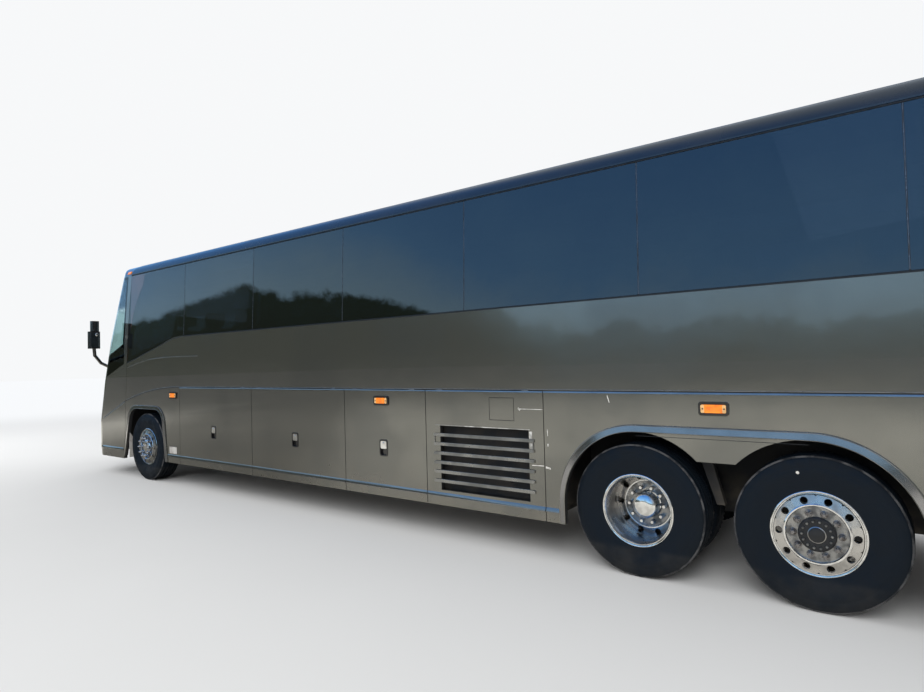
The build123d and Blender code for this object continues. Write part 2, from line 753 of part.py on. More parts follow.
def tow_tube(side):
    """Tube of a tow socket behind the bumper's face."""
    start = (TOW_MOUTH_X - TOW_DEPTH, side * TOW_Y, TOW_Z)
    return rod(start, (TOW_MOUTH_X, side * TOW_Y, TOW_Z), TOW_TUBE_R)


def tow_bore(side):
    """Bore of a tow socket, and the round recess at its mouth."""
    start = (TOW_MOUTH_X - TOW_DEPTH - 1, side * TOW_Y, TOW_Z)
    bore = rod(start, (TOW_MOUTH_X + 1, side * TOW_Y, TOW_Z), TOW_R)
    return bore + rod((TOW_MOUTH_X, side * TOW_Y, TOW_Z), (X_FRONT + 50, side * TOW_Y, TOW_Z), TOW_MOUTH_R)


def make_front_end():
    """Front bumper, cap, windscreen, headlamps, entry door and its glass, all cut from one form."""
    outer = envelope(FRONT_LEVELS, FRONT_BOW, 0, 1)
    inner = envelope(FRONT_LEVELS, FRONT_BOW, WALL, 1)
    middle = envelope(FRONT_LEVELS, FRONT_BOW, WALL / 2, 1)
    glass_layer = outer - envelope(FRONT_LEVELS, FRONT_BOW, SCREEN_THICK, 1)
    skin_layer = outer - envelope(FRONT_LEVELS, FRONT_BOW, SKIN, 1)
    front = ahead_of_seam(SEAM) - block(0, FAR, -FAR, FAR, 0, BUMPER_Z)
    shell = (outer - inner) & front
    doorway = prism_y(DOOR_OUTLINE, -FAR / 2, 0)
    screens = [prism_y(SCREEN_LEFT, SCREEN_POST, FAR / 2), prism_y(SCREEN_RIGHT, -FAR / 2, -SCREEN_POST)]
    inside, outside, low, high = HEADLAMP
    lamp_boxes = [block(X_LAMP_BACK, FAR, *sorted((s * inside, s * outside)), low, high) for s in (1, -1)]

    lip = (middle - inner) & front & under_bumper_line(SEAM - FIT)
    bumper = (shell & under_bumper_line(0)) + lip - doorway
    for side in (1, -1):
        bumper = bumper + tow_tube(side) - tow_bore(side)
    bumper = hinge_fixed(bumper, door_hinges()[:1])

    cap = shell - under_bumper_line(SEAM) - doorway
    for cutter in screens + lamp_boxes:
        cap = cap - cutter
    cap = hinge_fixed(cap, door_hinges()[1:])

    screen = group(*[glass_layer & cutter for cutter in screens])
    lamps = group(*[skin_layer & box for box in lamp_boxes])

    leaf = prism_y(shrink_outline(DOOR_OUTLINE, GAP), -FAR / 2, 0)
    pane = prism_y(DOOR_GLASS_OUTLINE, -FAR / 2, 0)
    door = hinge_moving((skin_layer & leaf) - pane, door_hinges())
    return bumper, cap, screen, lamps, door, glass_layer & pane


def engine_hinge():
    """Place of the engine door's pin line, as (x, z)."""
    z = ENGINE_DOOR[2] - GAP / 2
    return -face_x(REAR_LEVELS, REAR_BOW, 0, z), z


def make_rear_end():
    """Rear bumper, cap, tail lamps, engine door and rear window, cut from one form."""
    outer = envelope(REAR_LEVELS, REAR_BOW, 0, -1)
    inner = envelope(REAR_LEVELS, REAR_BOW, WALL, -1)
    middle = envelope(REAR_LEVELS, REAR_BOW, WALL / 2, -1)
    back = -FAR
    rear = block(back, X_CAP_REAR - SEAM, -FAR, FAR, REAR_BUMPER_Z, FAR)
    shell = (outer - inner) & rear
    half, low, high = ENGINE_DOOR
    whalf, wlow, whigh = REAR_WINDOW
    opening_x = X_CAP_REAR - 100
    doorway = block(back, opening_x, -half, half, low, high)
    window_hole = block(back, opening_x, -whalf, whalf, wlow, whigh)
    inside, outside, lamp_low, lamp_high = TAIL_LAMP
    lamp_boxes = [block(back, opening_x, *sorted((s * inside, s * outside)), lamp_low, lamp_high) for s in (1, -1)]
    hinge_x, hinge_z = engine_hinge()
    places = [knuckle_place((hinge_x, y, hinge_z), (0, 1, 0), (0, 0, 1)) for y in (-ENGINE_EYE_Y, ENGINE_EYE_Y)]

    under = block(back, 0, -FAR, FAR, 0, REAR_BUMPER_TOP_Z)
    under_lip = block(back, 0, -FAR, FAR, 0, REAR_BUMPER_TOP_Z + SEAM - FIT)
    bumper = (shell & under) + ((middle - inner) & rear & under_lip)
    plate = (PLATE_W / 2, PLATE_H / 2)
    bumper = bumper - block(back, PLATE_X, -plate[0], plate[0], PLATE_Z - plate[1], PLATE_Z + plate[1])
    for y in (-PLATE_SCREW_W / 2, PLATE_SCREW_W / 2):
        for z in (PLATE_Z - PLATE_SCREW_H / 2, PLATE_Z + PLATE_SCREW_H / 2):
            bumper = bumper - rod((PLATE_X - 50, y, z), (PLATE_X + 2 * WALL, y, z), PLATE_SCREW_R)

    cap = shell - block(back, 0, -FAR, FAR, 0, REAR_BUMPER_TOP_Z + SEAM) - doorway - window_hole
    for box in lamp_boxes:
        cap = cap - box
    cap = hinge_fixed(cap, places)
    skin_layer = outer - envelope(REAR_LEVELS, REAR_BOW, SKIN, -1)
    lamps = group(*[skin_layer & box for box in lamp_boxes])

    door = (outer - inner) & block(back, opening_x, -half + GAP, half - GAP, low + GAP, high - GAP)
    for i in range(ENGINE_SLOTS):
        z = low + SLOT_START + i * SLOT_PITCH
        door = door - block(back, 0, -SLOT_HALF_W, SLOT_HALF_W, z, z + SLOT_H)
    door = hinge_moving(door, places)
    window = (outer - envelope(REAR_LEVELS, REAR_BOW, SCREEN_THICK, -1)) & window_hole
    return bumper, cap, lamps, door, window


def make_tyre(y, shoulders):
    """Tyre ring centred on a plane y, with bevelled shoulders on those that show."""
    half, tread = TYRE_W / 2, TREAD_W / 2
    bead, bore = RIM_W / 2 - RIM_LIP - 9, RIM_R - BEAD_DEPTH
    right = [(tread, TYRE_R), (bead, bore)]
    if shoulders:
        right = [(tread, TYRE_R), (half, TYRE_R - 85), (bead, bore)]
    left = [(-across, radius) for across, radius in reversed(right)]
    with BuildPart() as tyre:
        with BuildSketch(Plane.YZ):
            with BuildLine():
                Polyline(*right, *left, close=True)
            make_face()
        revolve(axis=Axis.Y)
    return Pos(0, y, TYRE_R) * tyre.part


def make_rim(y, disc_profile):
    """Rim centred on a plane y, with its disc and ten hand holes."""
    half = RIM_W / 2
    seat = RIM_R - BEAD_DEPTH - FIT
    barrel = seat - 28.0
    with BuildPart() as rim:
        with BuildSketch(Plane.YZ):
            with BuildLine():
                Polyline(
                    (-half, RIM_R), (-half + RIM_LIP, RIM_R), (-half + RIM_LIP, seat), (half - RIM_LIP, seat),
                    (half - RIM_LIP, RIM_R), (half, RIM_R), (half, seat - 14), (half - 40, barrel),
                    (-half + 40, barrel), (-half, seat - 14), close=True,
                )
            make_face()
            with BuildLine():
                Polyline(*disc_profile, close=True)
            make_face()
        revolve(axis=Axis.Y)
        deep = max(abs(point[0]) for point in disc_profile) + DISC
        side = math.copysign(1, disc_profile[0][0])
        with BuildSketch(Plane.XZ.offset(-side * deep)):
            with PolarLocations(HAND_HOLE_RING_R, HAND_HOLES):
                Circle(HAND_HOLE_R)
        extrude(amount=side * 4 * DISC, mode=Mode.SUBTRACT)
    return Pos(0, y, TYRE_R) * rim.part


def convex_disc():
    """Disc profile of a single wheel: a raised centre near the rim's outer edge, as (y, r)."""
    face, step = STEER_MOUNT, 22.0
    outer_r = RIM_R - BEAD_DEPTH - 8
    return [
        (face, 70), (face, 192), (face - step, 202), (face - step, outer_r), (face - step - DISC, outer_r),
        (face - step - DISC, 196), (face - DISC, 186), (face - DISC, 70),
    ]


def dished_disc(offset, face):
    """Disc profile of a twin wheel, beyond the rim's inner edge, as (y, r)."""
    toward = math.copysign(1, offset)
    outer_r = RIM_R - BEAD_DEPTH - 8
    edge = toward * (RIM_W / 2 - 16)
    return [
        (offset, 70), (offset, outer_r - 8), (edge, outer_r), (edge - toward * 30, outer_r), (face, outer_r - 30),
        (face, 70),
    ]


def make_hub(y_in, y_mount, y_out, cap_r):
    """Hub barrel through the disc, its flange behind, the wheel nuts and a round cap, bored for its spindle."""
    barrel, flange = 108.0, 170.0
    back = y_mount - DISC
    with BuildPart() as hub:
        with BuildSketch(Plane.YZ):
            with BuildLine():
                Polyline(
                    (y_in, 0), (y_in, barrel + 10), (back - 26, barrel + 10), (back - 26, flange), (back + 1, flange),
                    (back + 1, barrel), (y_mount + 10, barrel), (y_mount + 10, cap_r), (y_out - 14, cap_r),
                    (y_out, cap_r - 22), (y_out, 0), close=True,
                )
            make_face()
        revolve(axis=Axis.Y)
        with BuildSketch(Plane.XZ.offset(-(y_mount - 1))):
            with PolarLocations(NUT_RING_R, NUTS):
                RegularPolygon(NUT_R, 6)
        extrude(amount=-NUT_H)
        with BuildSketch(Plane.XZ.offset(-(y_in - 1))):
            Circle(SPINDLE_R + FIT)
        extrude(amount=-(y_mount - y_in + 1), mode=Mode.SUBTRACT)
    return Pos(0, 0, TYRE_R) * hub.part


def wheel_set(x, twin, cap_r, side):
    """Tyres and the wheel with its hub at one corner, as (tyres, wheel, inner end, end of the hub's bore)."""
    if twin:
        offset = DUAL_SPACING / 2
        mount = WHEEL_Y - offset
        tyres = [make_tyre(WHEEL_Y, True), make_tyre(INNER_WHEEL_Y, False)]
        wheel = make_rim(WHEEL_Y, dished_disc(-offset, DISC - offset))
        wheel = wheel + make_rim(INNER_WHEEL_Y, dished_disc(offset, offset - DISC))
        y_in, y_mount, y_out = mount - 130, mount + DISC, WHEEL_Y - 15
    else:
        tyres = [make_tyre(WHEEL_Y, True)]
        wheel = make_rim(WHEEL_Y, convex_disc())
        y_in, y_mount, y_out = WHEEL_Y - 50, WHEEL_Y + STEER_MOUNT, WHEEL_Y + 174
    wheel = wheel + make_hub(y_in, y_mount, y_out, cap_r)
    place = Pos(x, 0, 0)
    tyre_part = group(*[put_on_side(place * tyre, side) for tyre in tyres])
    return tyre_part, put_on_side(place * wheel, side), y_in, y_mount


def make_front_axle():
    """Beam with kingpins at its ends, dropped between them, and air springs up to the rails."""
    x, half = X_STEER, BEAM / 2
    with BuildPart() as axle:
        add(block(x - half, x + half, -KINGPIN_Y + 120, KINGPIN_Y - 120, BEAM_Z, BEAM_Z + BEAM_H))
        for s in (1, -1):
            y = s * KINGPIN_Y
            y0, y1 = sorted((s * (KINGPIN_Y - 160), s * (KINGPIN_Y - 62)))
            add(block(x - half, x + half, y0, y1, BEAM_Z, TYRE_R + BOSS_HALF))
            add(rod((x, y, TYRE_R - BOSS_HALF), (x, y, TYRE_R + BOSS_HALF), BOSS_R))
            y0, y1 = sorted((s * (KINGPIN_Y - 63), y))
            add(block(x - half, x + half, y0, y1, TYRE_R - BOSS_HALF, TYRE_R + BOSS_HALF))
            add(rod((x, y, TYRE_R - KINGPIN_HALF), (x, y, TYRE_R + KINGPIN_HALF), KINGPIN_R))
            spring_y = s * (RAIL_HALF_GAP + RAIL_W / 2)
            add(rod((x, spring_y, BEAM_Z + BEAM_H - 10), (x, spring_y, RAIL_Z0), SPRING_R))
    return axle.part


def make_knuckle(side, bore_end):
    """Forked knuckle round the kingpin, with the wheel's spindle and a steering arm."""
    x, y = X_STEER, KINGPIN_Y
    reach = KINGPIN_HALF - 5
    with BuildPart() as knuckle:
        for s in (-1, 1):
            z0, z1 = sorted((TYRE_R + s * (BOSS_HALF + FORK_GAP), TYRE_R + s * reach))
            add(rod((x, y, z0), (x, y, z1), FORK_R))
            add(block(x - FORK_R, x + FORK_R, y, y + 110, z0, z1))
        add(block(x - FORK_R, x + FORK_R, y + 60, y + 110, TYRE_R - reach, TYRE_R + reach))
        add(rod((x, y + 100, TYRE_R), (x, bore_end - 8, TYRE_R), SPINDLE_R))
        add(block(x - STEER_ARM, x, y - 30, y + 30, STEER_ARM_Z, STEER_ARM_Z + STEER_ARM_H))
        add(rod((x, y, 200), (x, y, 900), KINGPIN_R + FIT), mode=Mode.SUBTRACT)
    return put_on_side(knuckle.part, side)


def make_rigid_axle(x, twin, y_in, bore_end):
    """Tube axle with spindles in the hubs, and air springs and arms up to the rails."""
    tube_end, spindle_end = y_in - 6, bore_end - 2
    with BuildPart() as axle:
        add(rod((x, -tube_end, TYRE_R), (x, tube_end, TYRE_R), AXLE_R if twin else TAG_AXLE_R))
        add(rod((x, -spindle_end, TYRE_R), (x, spindle_end, TYRE_R), SPINDLE_R))
        if twin:
            with Locations((x, 0, TYRE_R)):
                Sphere(DIFFERENTIAL_R)
        for s in (1, -1):
            y = s * (RAIL_HALF_GAP + RAIL_W / 2)
            add(block(x - SPRING_SPREAD - 60, x + SPRING_SPREAD + 60, y - 60, y + 60, TYRE_R - 40, TYRE_R + 40))
            for dx in (-SPRING_SPREAD, SPRING_SPREAD):
                add(rod((x + dx, y, TYRE_R + 30), (x + dx, y, RAIL_Z0), REAR_SPRING_R))
    return axle.part


def make_underframe():
    """Luggage bay floor with bulkheads, and the rails and cross members that carry both ends."""
    y = HALF_WIDTH - WALL - 20
    bay_rear, bay_front = BAY_EDGES[-1], BAY_EDGES[0]
    top = FLOOR_Z - FLOOR
    rail_top = RAIL_Z0 + RAIL_H
    engine_plate_x = -5065.0
    with BuildPart() as frame:
        add(block(bay_rear - SHEET, bay_front + SHEET, -y, y, BAY_FLOOR_Z - BAY_FLOOR, BAY_FLOOR_Z))
        for x in BAY_EDGES:
            add(block(x - SHEET, x + SHEET, -y, y, BAY_FLOOR_Z - 1, top))
        for x0, x1 in ((bay_front + SHEET - 1, X_FRONT - 220), (X_REAR + 150, bay_rear - SHEET + 1)):
            for s in (1, -1):
                y0, y1 = sorted((s * RAIL_HALF_GAP, s * (RAIL_HALF_GAP + RAIL_W)))
                add(block(x0, x1, y0, y1, RAIL_Z0, rail_top))
        for x in (bay_front + 320, X_STEER + 800, X_STEER + 1700, X_DRIVE + 500, X_REAR + 265):
            add(block(x - 50, x + 50, -RAIL_HALF_GAP - 40, RAIL_HALF_GAP + 40, RAIL_Z0 + 20, rail_top - 20))
        for x in (bay_front + 320, engine_plate_x):
            add(block(x - 20, x + 20, -y, y, rail_top - 60, top))
        add(block(engine_plate_x - 40, engine_plate_x + 40, -240, 240, RAIL_Z0 - 100, 980), mode=Mode.SUBTRACT)
    return frame.part


def make_floor():
    """Passenger deck, driver's platform and the entry steps."""
    y, y_cap = HALF_WIDTH - SILL_INSET - FIT, HALF_WIDTH - WALL - FIT
    stairs_x0, stairs_x1, stairs_y = STAIRS
    low, high = PLATFORM_Z - FLOOR, PLATFORM_Z
    with BuildPart() as floor:
        add(block(X_CAP_REAR - SEAM - 1, X_PLATFORM, -y, y, FLOOR_Z - FLOOR, FLOOR_Z))
        add(block(X_CAP_REAR - 100, X_CAP_REAR - SEAM, -y_cap, y_cap, FLOOR_Z - FLOOR, FLOOR_Z))
        add(block(X_PLATFORM - FLOOR, X_PLATFORM, -y, y, low, FLOOR_Z))
        add(block(X_PLATFORM - FLOOR, X_PLATFORM_FRONT, PLATFORM_RIGHT, PLATFORM_LEFT, low, high))
        add(block(X_PLATFORM - FLOOR, stairs_x0, -y, y, low, high))
        add(block(stairs_x0, 6150.0, PLATFORM_LEFT - 1, y_cap, low, high))
        add(block(stairs_x0, stairs_x1, -y, stairs_y, low - 10, high + 10), mode=Mode.SUBTRACT)
        for i in range(STEPS):
            z, y0 = FIRST_STEP_Z + i * STEP_RISE, -y + i * STEP_RUN
            add(block(stairs_x0, stairs_x1, y0, stairs_y + 20, z, z + SHEET))
            add(block(stairs_x0, stairs_x1, y0 + STEP_RUN - 20, y0 + STEP_RUN + 10, z, z + STEP_RISE + SHEET))
        for x in (stairs_x0 - 20, stairs_x1):
            add(block(x, x + 20, -y, stairs_y + 20, FIRST_STEP_Z, high))
    return floor.part


def make_housings():
    """Sheet housings over the wheels, open below and to the side, with a bracket between the rear wheels."""
    y, y_cap = HALF_WIDTH - SKIN - FIT, HALF_WIDTH - WALL - FIT
    fx0, fx1 = X_STEER - FRONT_HOUSING_BEHIND, X_STEER + FRONT_HOUSING_AHEAD
    rx0, rx1 = X_TAG - REAR_HOUSING_MARGIN, X_DRIVE + REAR_HOUSING_MARGIN
    low, t = HOUSING_LOW_Z, HOUSING
    with BuildPart() as front:
        add(block(fx0 - t, fx1 + t, FRONT_HOUSING_Y - t, y, low, FRONT_HOUSING_Z + t))
        add(block(fx0, fx1, FRONT_HOUSING_Y, FAR, 0, FRONT_HOUSING_Z), mode=Mode.SUBTRACT)
        add(block(fx1 - 50, FAR, y_cap, FAR, 0, FAR), mode=Mode.SUBTRACT)
        add(block(X_STEER - 90, X_STEER + 90, 0, FRONT_HOUSING_Y + 5, 0, TYRE_R + 60), mode=Mode.SUBTRACT)
    bracket = [
        (X_BETWEEN + 250, REAR_HOUSING_Z + 1), (X_BETWEEN + 150, REAR_HOUSING_Z + 1), (X_BETWEEN, 600),
        (X_BETWEEN + 60, 600),
    ]
    with BuildPart() as rear:
        add(block(rx0 - t, rx1 + t, REAR_HOUSING_Y - t, y, low, REAR_HOUSING_Z + t))
        add(block(rx0, rx1, REAR_HOUSING_Y, FAR, 0, REAR_HOUSING_Z), mode=Mode.SUBTRACT)
        for x in (X_DRIVE, X_TAG):
            add(block(x - 110, x + 110, 0, REAR_HOUSING_Y + 5, 0, TYRE_R + 110), mode=Mode.SUBTRACT)
        add(prism_y(bracket, BRACKET_Y, BRACKET_Y + BRACKET_W))
    return both_sides(group(front.part, rear.part))


def make_mirrors(keep_clear):
    """Two-part mirror heads on arms that reach the cap below the windscreen's corners."""
    mirrors = []
    for side, x, y, arm in MIRRORS:
        points = [(x, y, 2140.0), *arm, MIRROR_ARM_END]
        with BuildPart() as arm_and_head:
            with Locations((x, y, 2262)):
                Box(*MIRROR_SIZE)
            with Locations((x + 5, y - 14, 2485)):
                Box(*MIRROR_TOP_SIZE)
            fillet(arm_and_head.edges().filter_by(Axis.Z), MIRROR_EDGE_R)
            for start, end in zip(points, points[1:]):
                add(rod(start, end, MIRROR_ARM_R))
            for joint in arm:
                with Locations(joint):
                    Sphere(MIRROR_ARM_R)
            add(keep_clear, mode=Mode.SUBTRACT)
        outside = max(arm_and_head.part.solids(), key=lambda solid: solid.volume)
        mirrors.append(put_on_side(outside, side))
    return group(*mirrors)


def make_wipers(keep_clear):
    """Two parked wipers: a short pivot, an arm and a blade each, just in front of the screen."""
    stand_off, blade_z, base_z = 26.0, 1600.0, 1440.0
    wipers = []
    for y0, y1 in ((905, 95), (-905, -95)):
        tips = (y0, (y0 + y1) / 2, y1)
        points = [(face_x(FRONT_LEVELS, FRONT_BOW, y, blade_z) + stand_off, y, blade_z) for y in tips]
        base_y = y0 - math.copysign(60, y0)
        base = (face_x(FRONT_LEVELS, FRONT_BOW, base_y, base_z) + stand_off, base_y, base_z)
        with BuildPart() as wiper:
            with BuildLine() as path:
                ThreePointArc(*points)
            with BuildSketch(Plane(origin=points[0], z_dir=path.line % 0)):
                RegularPolygon(8, 4)
            sweep()
            add(rod(base, points[1], 8))
            add(rod((base[0] - 90, base[1], base[2]), (base[0] + 8, base[1], base[2]), 13))
            add(keep_clear, mode=Mode.SUBTRACT)
        wipers.append(max(wiper.part.solids(), key=lambda solid: solid.volume))
    return group(*wipers)


def on_column(reach):
    """Point on the steering column's axis, below the wheel's centre."""
    return tuple(c - a * reach for c, a in zip(WHEEL_CENTRE, COLUMN_AXIS))


def make_dashboard():
    """Dashboard with a binnacle and the steering column."""
    low = PLATFORM_Z
    outline = [(6180, low), (6500, low), (6500, 1500), (6380, 1560), (6180, 1480)]
    with BuildPart() as dash:
        add(prism_y(outline, -470, 1080))
        add(prism_y([(6080, 1380), (6185, 1380), (6185, 1500), (6110, 1500)], 380, 900))
        add(rod(on_column(COLUMN_REACH + COLUMN_LENGTH), on_column(COLUMN_REACH), COLUMN_R))
    return dash.part


def make_steering_wheel():
    """Rim, hub and four spokes, on the column's end."""
    rim_r, grip = 225.0, 15.0
    with BuildPart() as wheel:
        with BuildSketch(Plane.XZ):
            with Locations((rim_r, 0)):
                RegularPolygon(grip, 8)
        revolve(axis=Axis.Z)
        Cylinder(45, 50)
        with PolarLocations(rim_r / 2, 4):
            Box(rim_r, 30, 12)
        with Locations((0, 0, -(COLUMN_REACH - FIT) / 2)):
            Cylinder(22, COLUMN_REACH - FIT)
    wheel_plane = Plane(origin=WHEEL_CENTRE, x_dir=(0, 1, 0), z_dir=COLUMN_AXIS)
    return wheel_plane.location * wheel.part


def make_driver_seat():
    """Driver's seat on its pedestal."""
    x, y, z = 5330.0, 640.0, PLATFORM_Z
    with BuildPart() as seat:
        add(block(x - 180, x + 180, y - 200, y + 200, z, z + 300))
        add(block(x - 250, x + 260, y - 255, y + 255, z + 300, z + 420))
        back = [(x - 250, z + 380), (x - 130, z + 380), (x - 260, z + 1130), (x - 370, z + 1130)]
        add(prism_y(back, y - 245, y + 245))
    return seat.part


def make_seats():
    """Rows of twin seats on both sides of the aisle."""
    seats = []
    z = FLOOR_Z
    for i in range(ROWS):
        x = X_LAST_ROW + i * ROW_PITCH
        outline = [
            (x + 130, z), (x + 370, z), (x + 370, z + 330), (x + 560, z + 350), (x + 560, z + 470),
            (x + 210, z + 450), (x + 80, z + 1130), (x - 20, z + 1130), (x + 110, z + 330), (x + 130, z + 330),
        ]
        seats.append(prism_y(outline, SEAT_Y - SEAT_W / 2, SEAT_Y + SEAT_W / 2))
    return both_sides(group(*seats))


def make_racks():
    """Parcel racks over the seats, along both walls."""
    low, high = RACK_Z, RACK_Z + RACK_H
    outline = [
        (RACK_INNER_Y, low), (side_y(low, WALL + FIT), low), (side_y(high, WALL + FIT), high),
        (side_y(high, WALL) - 30, high), (side_y(low, WALL) - 60, low + 40), (RACK_INNER_Y, low + 60),
    ]
    return both_sides(prism_x(outline, X_CAP_REAR + 60, X_PLATFORM))


def make_engine():
    """Engine and gearbox as plain blocks on the rear rails, with the propeller shaft."""
    low, rail_top = RAIL_Z0 - 60, RAIL_Z0 + RAIL_H
    block_end, gearbox_end = X_REAR + 1750, X_REAR + 2400
    with BuildPart() as engine:
        add(block(X_REAR + 330, block_end, -RAIL_HALF_GAP + 10, RAIL_HALF_GAP - 10, low - 40, 1330))
        add(block(X_REAR + 400, block_end - 150, -RAIL_HALF_GAP - 60, RAIL_HALF_GAP + 60, rail_top, 1000))
        add(block(block_end - 1, gearbox_end, -220, 220, low, 960))
        add(rod((gearbox_end - 1, 0, TYRE_R + 160), (X_DRIVE - DIFFERENTIAL_R - 6, 0, TYRE_R + 60), 55))
    return engine.part


def make_cooling():
    """Condenser behind its grille on the left, and a radiator behind each rear grille."""
    y_out = HALF_WIDTH - SKIN - 30
    frame, deep = 60.0, 120.0
    rail_top = RAIL_Z0 + RAIL_H
    x0, x1, z0, z1 = CONDENSER_GRILLE
    condenser = block(x0 - frame, x1 + frame, y_out - deep, y_out, z0, z1 + frame)
    condenser = condenser + block(x0, x1, y_out - deep + 10, y_out - 10, BAY_FLOOR_Z, z0 + 10)
    x0, x1, z0, z1 = RADIATOR_GRILLE
    radiator = block(x0 - frame, x1 + frame, y_out - deep, y_out, rail_top, z1 + frame)
    radiator = radiator + block(x0, x1, RAIL_HALF_GAP + 70, y_out - 20, rail_top, rail_top + 40)
    return group(condenser, both_sides(radiator))


def make_marker_lamps():
    """Side marker lamps on the fixed panels, and clearance lamps proud of the front's upper edge."""
    outer = envelope(FRONT_LEVELS, FRONT_BOW, 0, 1)
    proud = envelope(FRONT_LEVELS, FRONT_BOW, -MARKER_PROUD, 1) - outer
    boxes = [block(X_ENVELOPE + 200, FAR, y - 45, y + 45, 3385, 3425) for y in (-150, 0, 150)]
    corners = [block(5420, 5520, *sorted((s * 1100, s * 1300)), 3335, 3375) for s in (1, -1)]
    lamps = [proud & box for box in boxes + corners]
    return group(*lamps, *[both_sides(marker_base(x)) for x in MARKERS_X])


def main():
    os.makedirs("parts", exist_ok=True)
    write(make_underframe(), "underframe")
    write(make_floor(), "cabin_floor")
    write(make_housings(), "wheel_housings")
    write(make_side_walls(), "side_walls")
    write(make_lower_panels(), "lower_panels")
    write(make_roof(), "roof")

    front_bumper, front_cap, windscreen, headlamps, entry_door, door_glass = make_front_end()
    rear_bumper, rear_cap, tail_lamps, engine_door, rear_window = make_rear_end()
    write(front_cap, "front_cap")
    write(rear_cap, "rear_cap")
    write(group(front_bumper, rear_bumper), "bumpers")
    write(group(make_side_glass(), rear_window), "side_and_rear_glass")
    write(windscreen, "windscreen")
    write(headlamps, "headlamps")
    write(tail_lamps, "tail_lamps")
    write(entry_door, "entry_door")
    write(door_glass, "entry_door_glass")
    write(engine_door, "engine_door")
    for name, side, x0, x1, grille, bars, lamp_x in SIDE_FLAPS:
        write(make_side_flap(side, x0, x1, grille, bars, lamp_x), name)

    clear = envelope(FRONT_LEVELS, FRONT_BOW, -FIT, 1)
    write(make_mirrors(clear), "mirrors")
    write(make_wipers(clear), "wipers")
    write(make_dashboard(), "dashboard")
    write(make_steering_wheel(), "steering_wheel")
    write(make_driver_seat(), "driver_seat")
    write(make_seats(), "passenger_seats")
    write(make_racks(), "parcel_racks")
    write(make_engine(), "engine")
    write(make_cooling(), "cooling_cores")
    write(make_marker_lamps(), "marker_lamps")

    write(make_front_axle(), "front_axle")
    for side, word in ((1, "left"), (-1, "right")):
        for place, x, twin, cap_r in WHEEL_PLACES:
            tyres, wheel, y_in, bore_end = wheel_set(x, twin, cap_r, side)
            write(tyres, f"tyre_{place}_{word}")
            write(wheel, f"wheel_{place}_{word}")
            if place == "front":
                write(make_knuckle(side, bore_end), f"knuckle_{word}")
            elif side > 0:
                write(make_rigid_axle(x, twin, y_in, bore_end), f"{place}_axle")
    print("engine door hinge", engine_hinge())


main()
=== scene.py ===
"""Looks of the three-axle coach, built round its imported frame. Metres, +X forward, +Y left, +Z up."""

import math

import bpy
from mathutils import Matrix, Vector


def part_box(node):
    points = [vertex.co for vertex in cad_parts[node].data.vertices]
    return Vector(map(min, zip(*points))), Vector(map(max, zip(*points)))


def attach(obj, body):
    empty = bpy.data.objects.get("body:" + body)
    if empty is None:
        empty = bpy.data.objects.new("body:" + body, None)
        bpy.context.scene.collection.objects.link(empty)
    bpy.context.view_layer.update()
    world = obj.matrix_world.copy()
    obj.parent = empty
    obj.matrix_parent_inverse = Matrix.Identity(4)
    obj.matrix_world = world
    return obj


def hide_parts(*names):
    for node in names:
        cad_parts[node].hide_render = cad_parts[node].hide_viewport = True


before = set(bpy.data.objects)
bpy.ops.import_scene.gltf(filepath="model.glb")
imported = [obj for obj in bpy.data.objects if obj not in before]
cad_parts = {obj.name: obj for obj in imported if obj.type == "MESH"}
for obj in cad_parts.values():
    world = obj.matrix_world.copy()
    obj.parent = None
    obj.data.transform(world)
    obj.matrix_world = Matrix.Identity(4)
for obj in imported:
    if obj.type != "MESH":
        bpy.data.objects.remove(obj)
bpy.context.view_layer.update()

# Places taken from the frame
SKIN_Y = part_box("side_and_rear_glass")[1].y
AXLES = {}
for place in ("front", "drive", "tag"):
    tyre_low, tyre_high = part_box(f"tyre_{place}_left")
    AXLES[place] = (tyre_low.x + tyre_high.x) / 2
TYRE_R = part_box("tyre_front_left")[1].z / 2
TYRE_SIDE_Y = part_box("tyre_front_left")[1].y
TYRE_HALF = (TYRE_SIDE_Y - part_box("tyre_front_left")[0].y) / 2
WHEEL_Y = TYRE_SIDE_Y - TYRE_HALF

# Sizes that the frame's boxes don't give, as in the part
DUAL = 0.34
BELT_Z = 2.23
GUTTER_Z = 3.3
GUTTER_Y = 1.25
PLATFORM_Z = 1.2
CABIN_FLOOR_Z = 1.45

TINY = 1e-6
SIDES = (("left", 1), ("right", -1))
FLAP_KINDS = ("luggage", "condenser", "service", "radiator")
FLAPS = [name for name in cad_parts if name.startswith(FLAP_KINDS)]


def merge(*shapes):
    """One shape, as (points, faces), out of several."""
    points, faces = [], []
    for more_points, more_faces in shapes:
        start = len(points)
        points += [tuple(p) for p in more_points]
        faces += [tuple(start + i for i in face) for face in more_faces]
    return points, faces


def moved(shape, x=0.0, y=0.0, z=0.0):
    """The shape at another place."""
    return [(p[0] + x, p[1] + y, p[2] + z) for p in shape[0]], shape[1]


def turned(shape, matrix):
    """The shape turned or placed by a matrix."""
    return [tuple(matrix @ Vector(p)) for p in shape[0]], shape[1]


def sided(shape, side):
    """A left shape, or its mirror image on the right."""
    if side > 0:
        return shape
    return [(x, -y, z) for x, y, z in shape[0]], [tuple(reversed(face)) for face in shape[1]]


def block(low, high):
    """Box between two corners."""
    (x0, y0, z0), (x1, y1, z1) = low, high
    points = [(x, y, z) for x in (x0, x1) for y in (y0, y1) for z in (z0, z1)]
    return points, [(0, 1, 3, 2), (4, 6, 7, 5), (0, 4, 5, 1), (2, 3, 7, 6), (0, 2, 6, 4), (1, 5, 7, 3)]


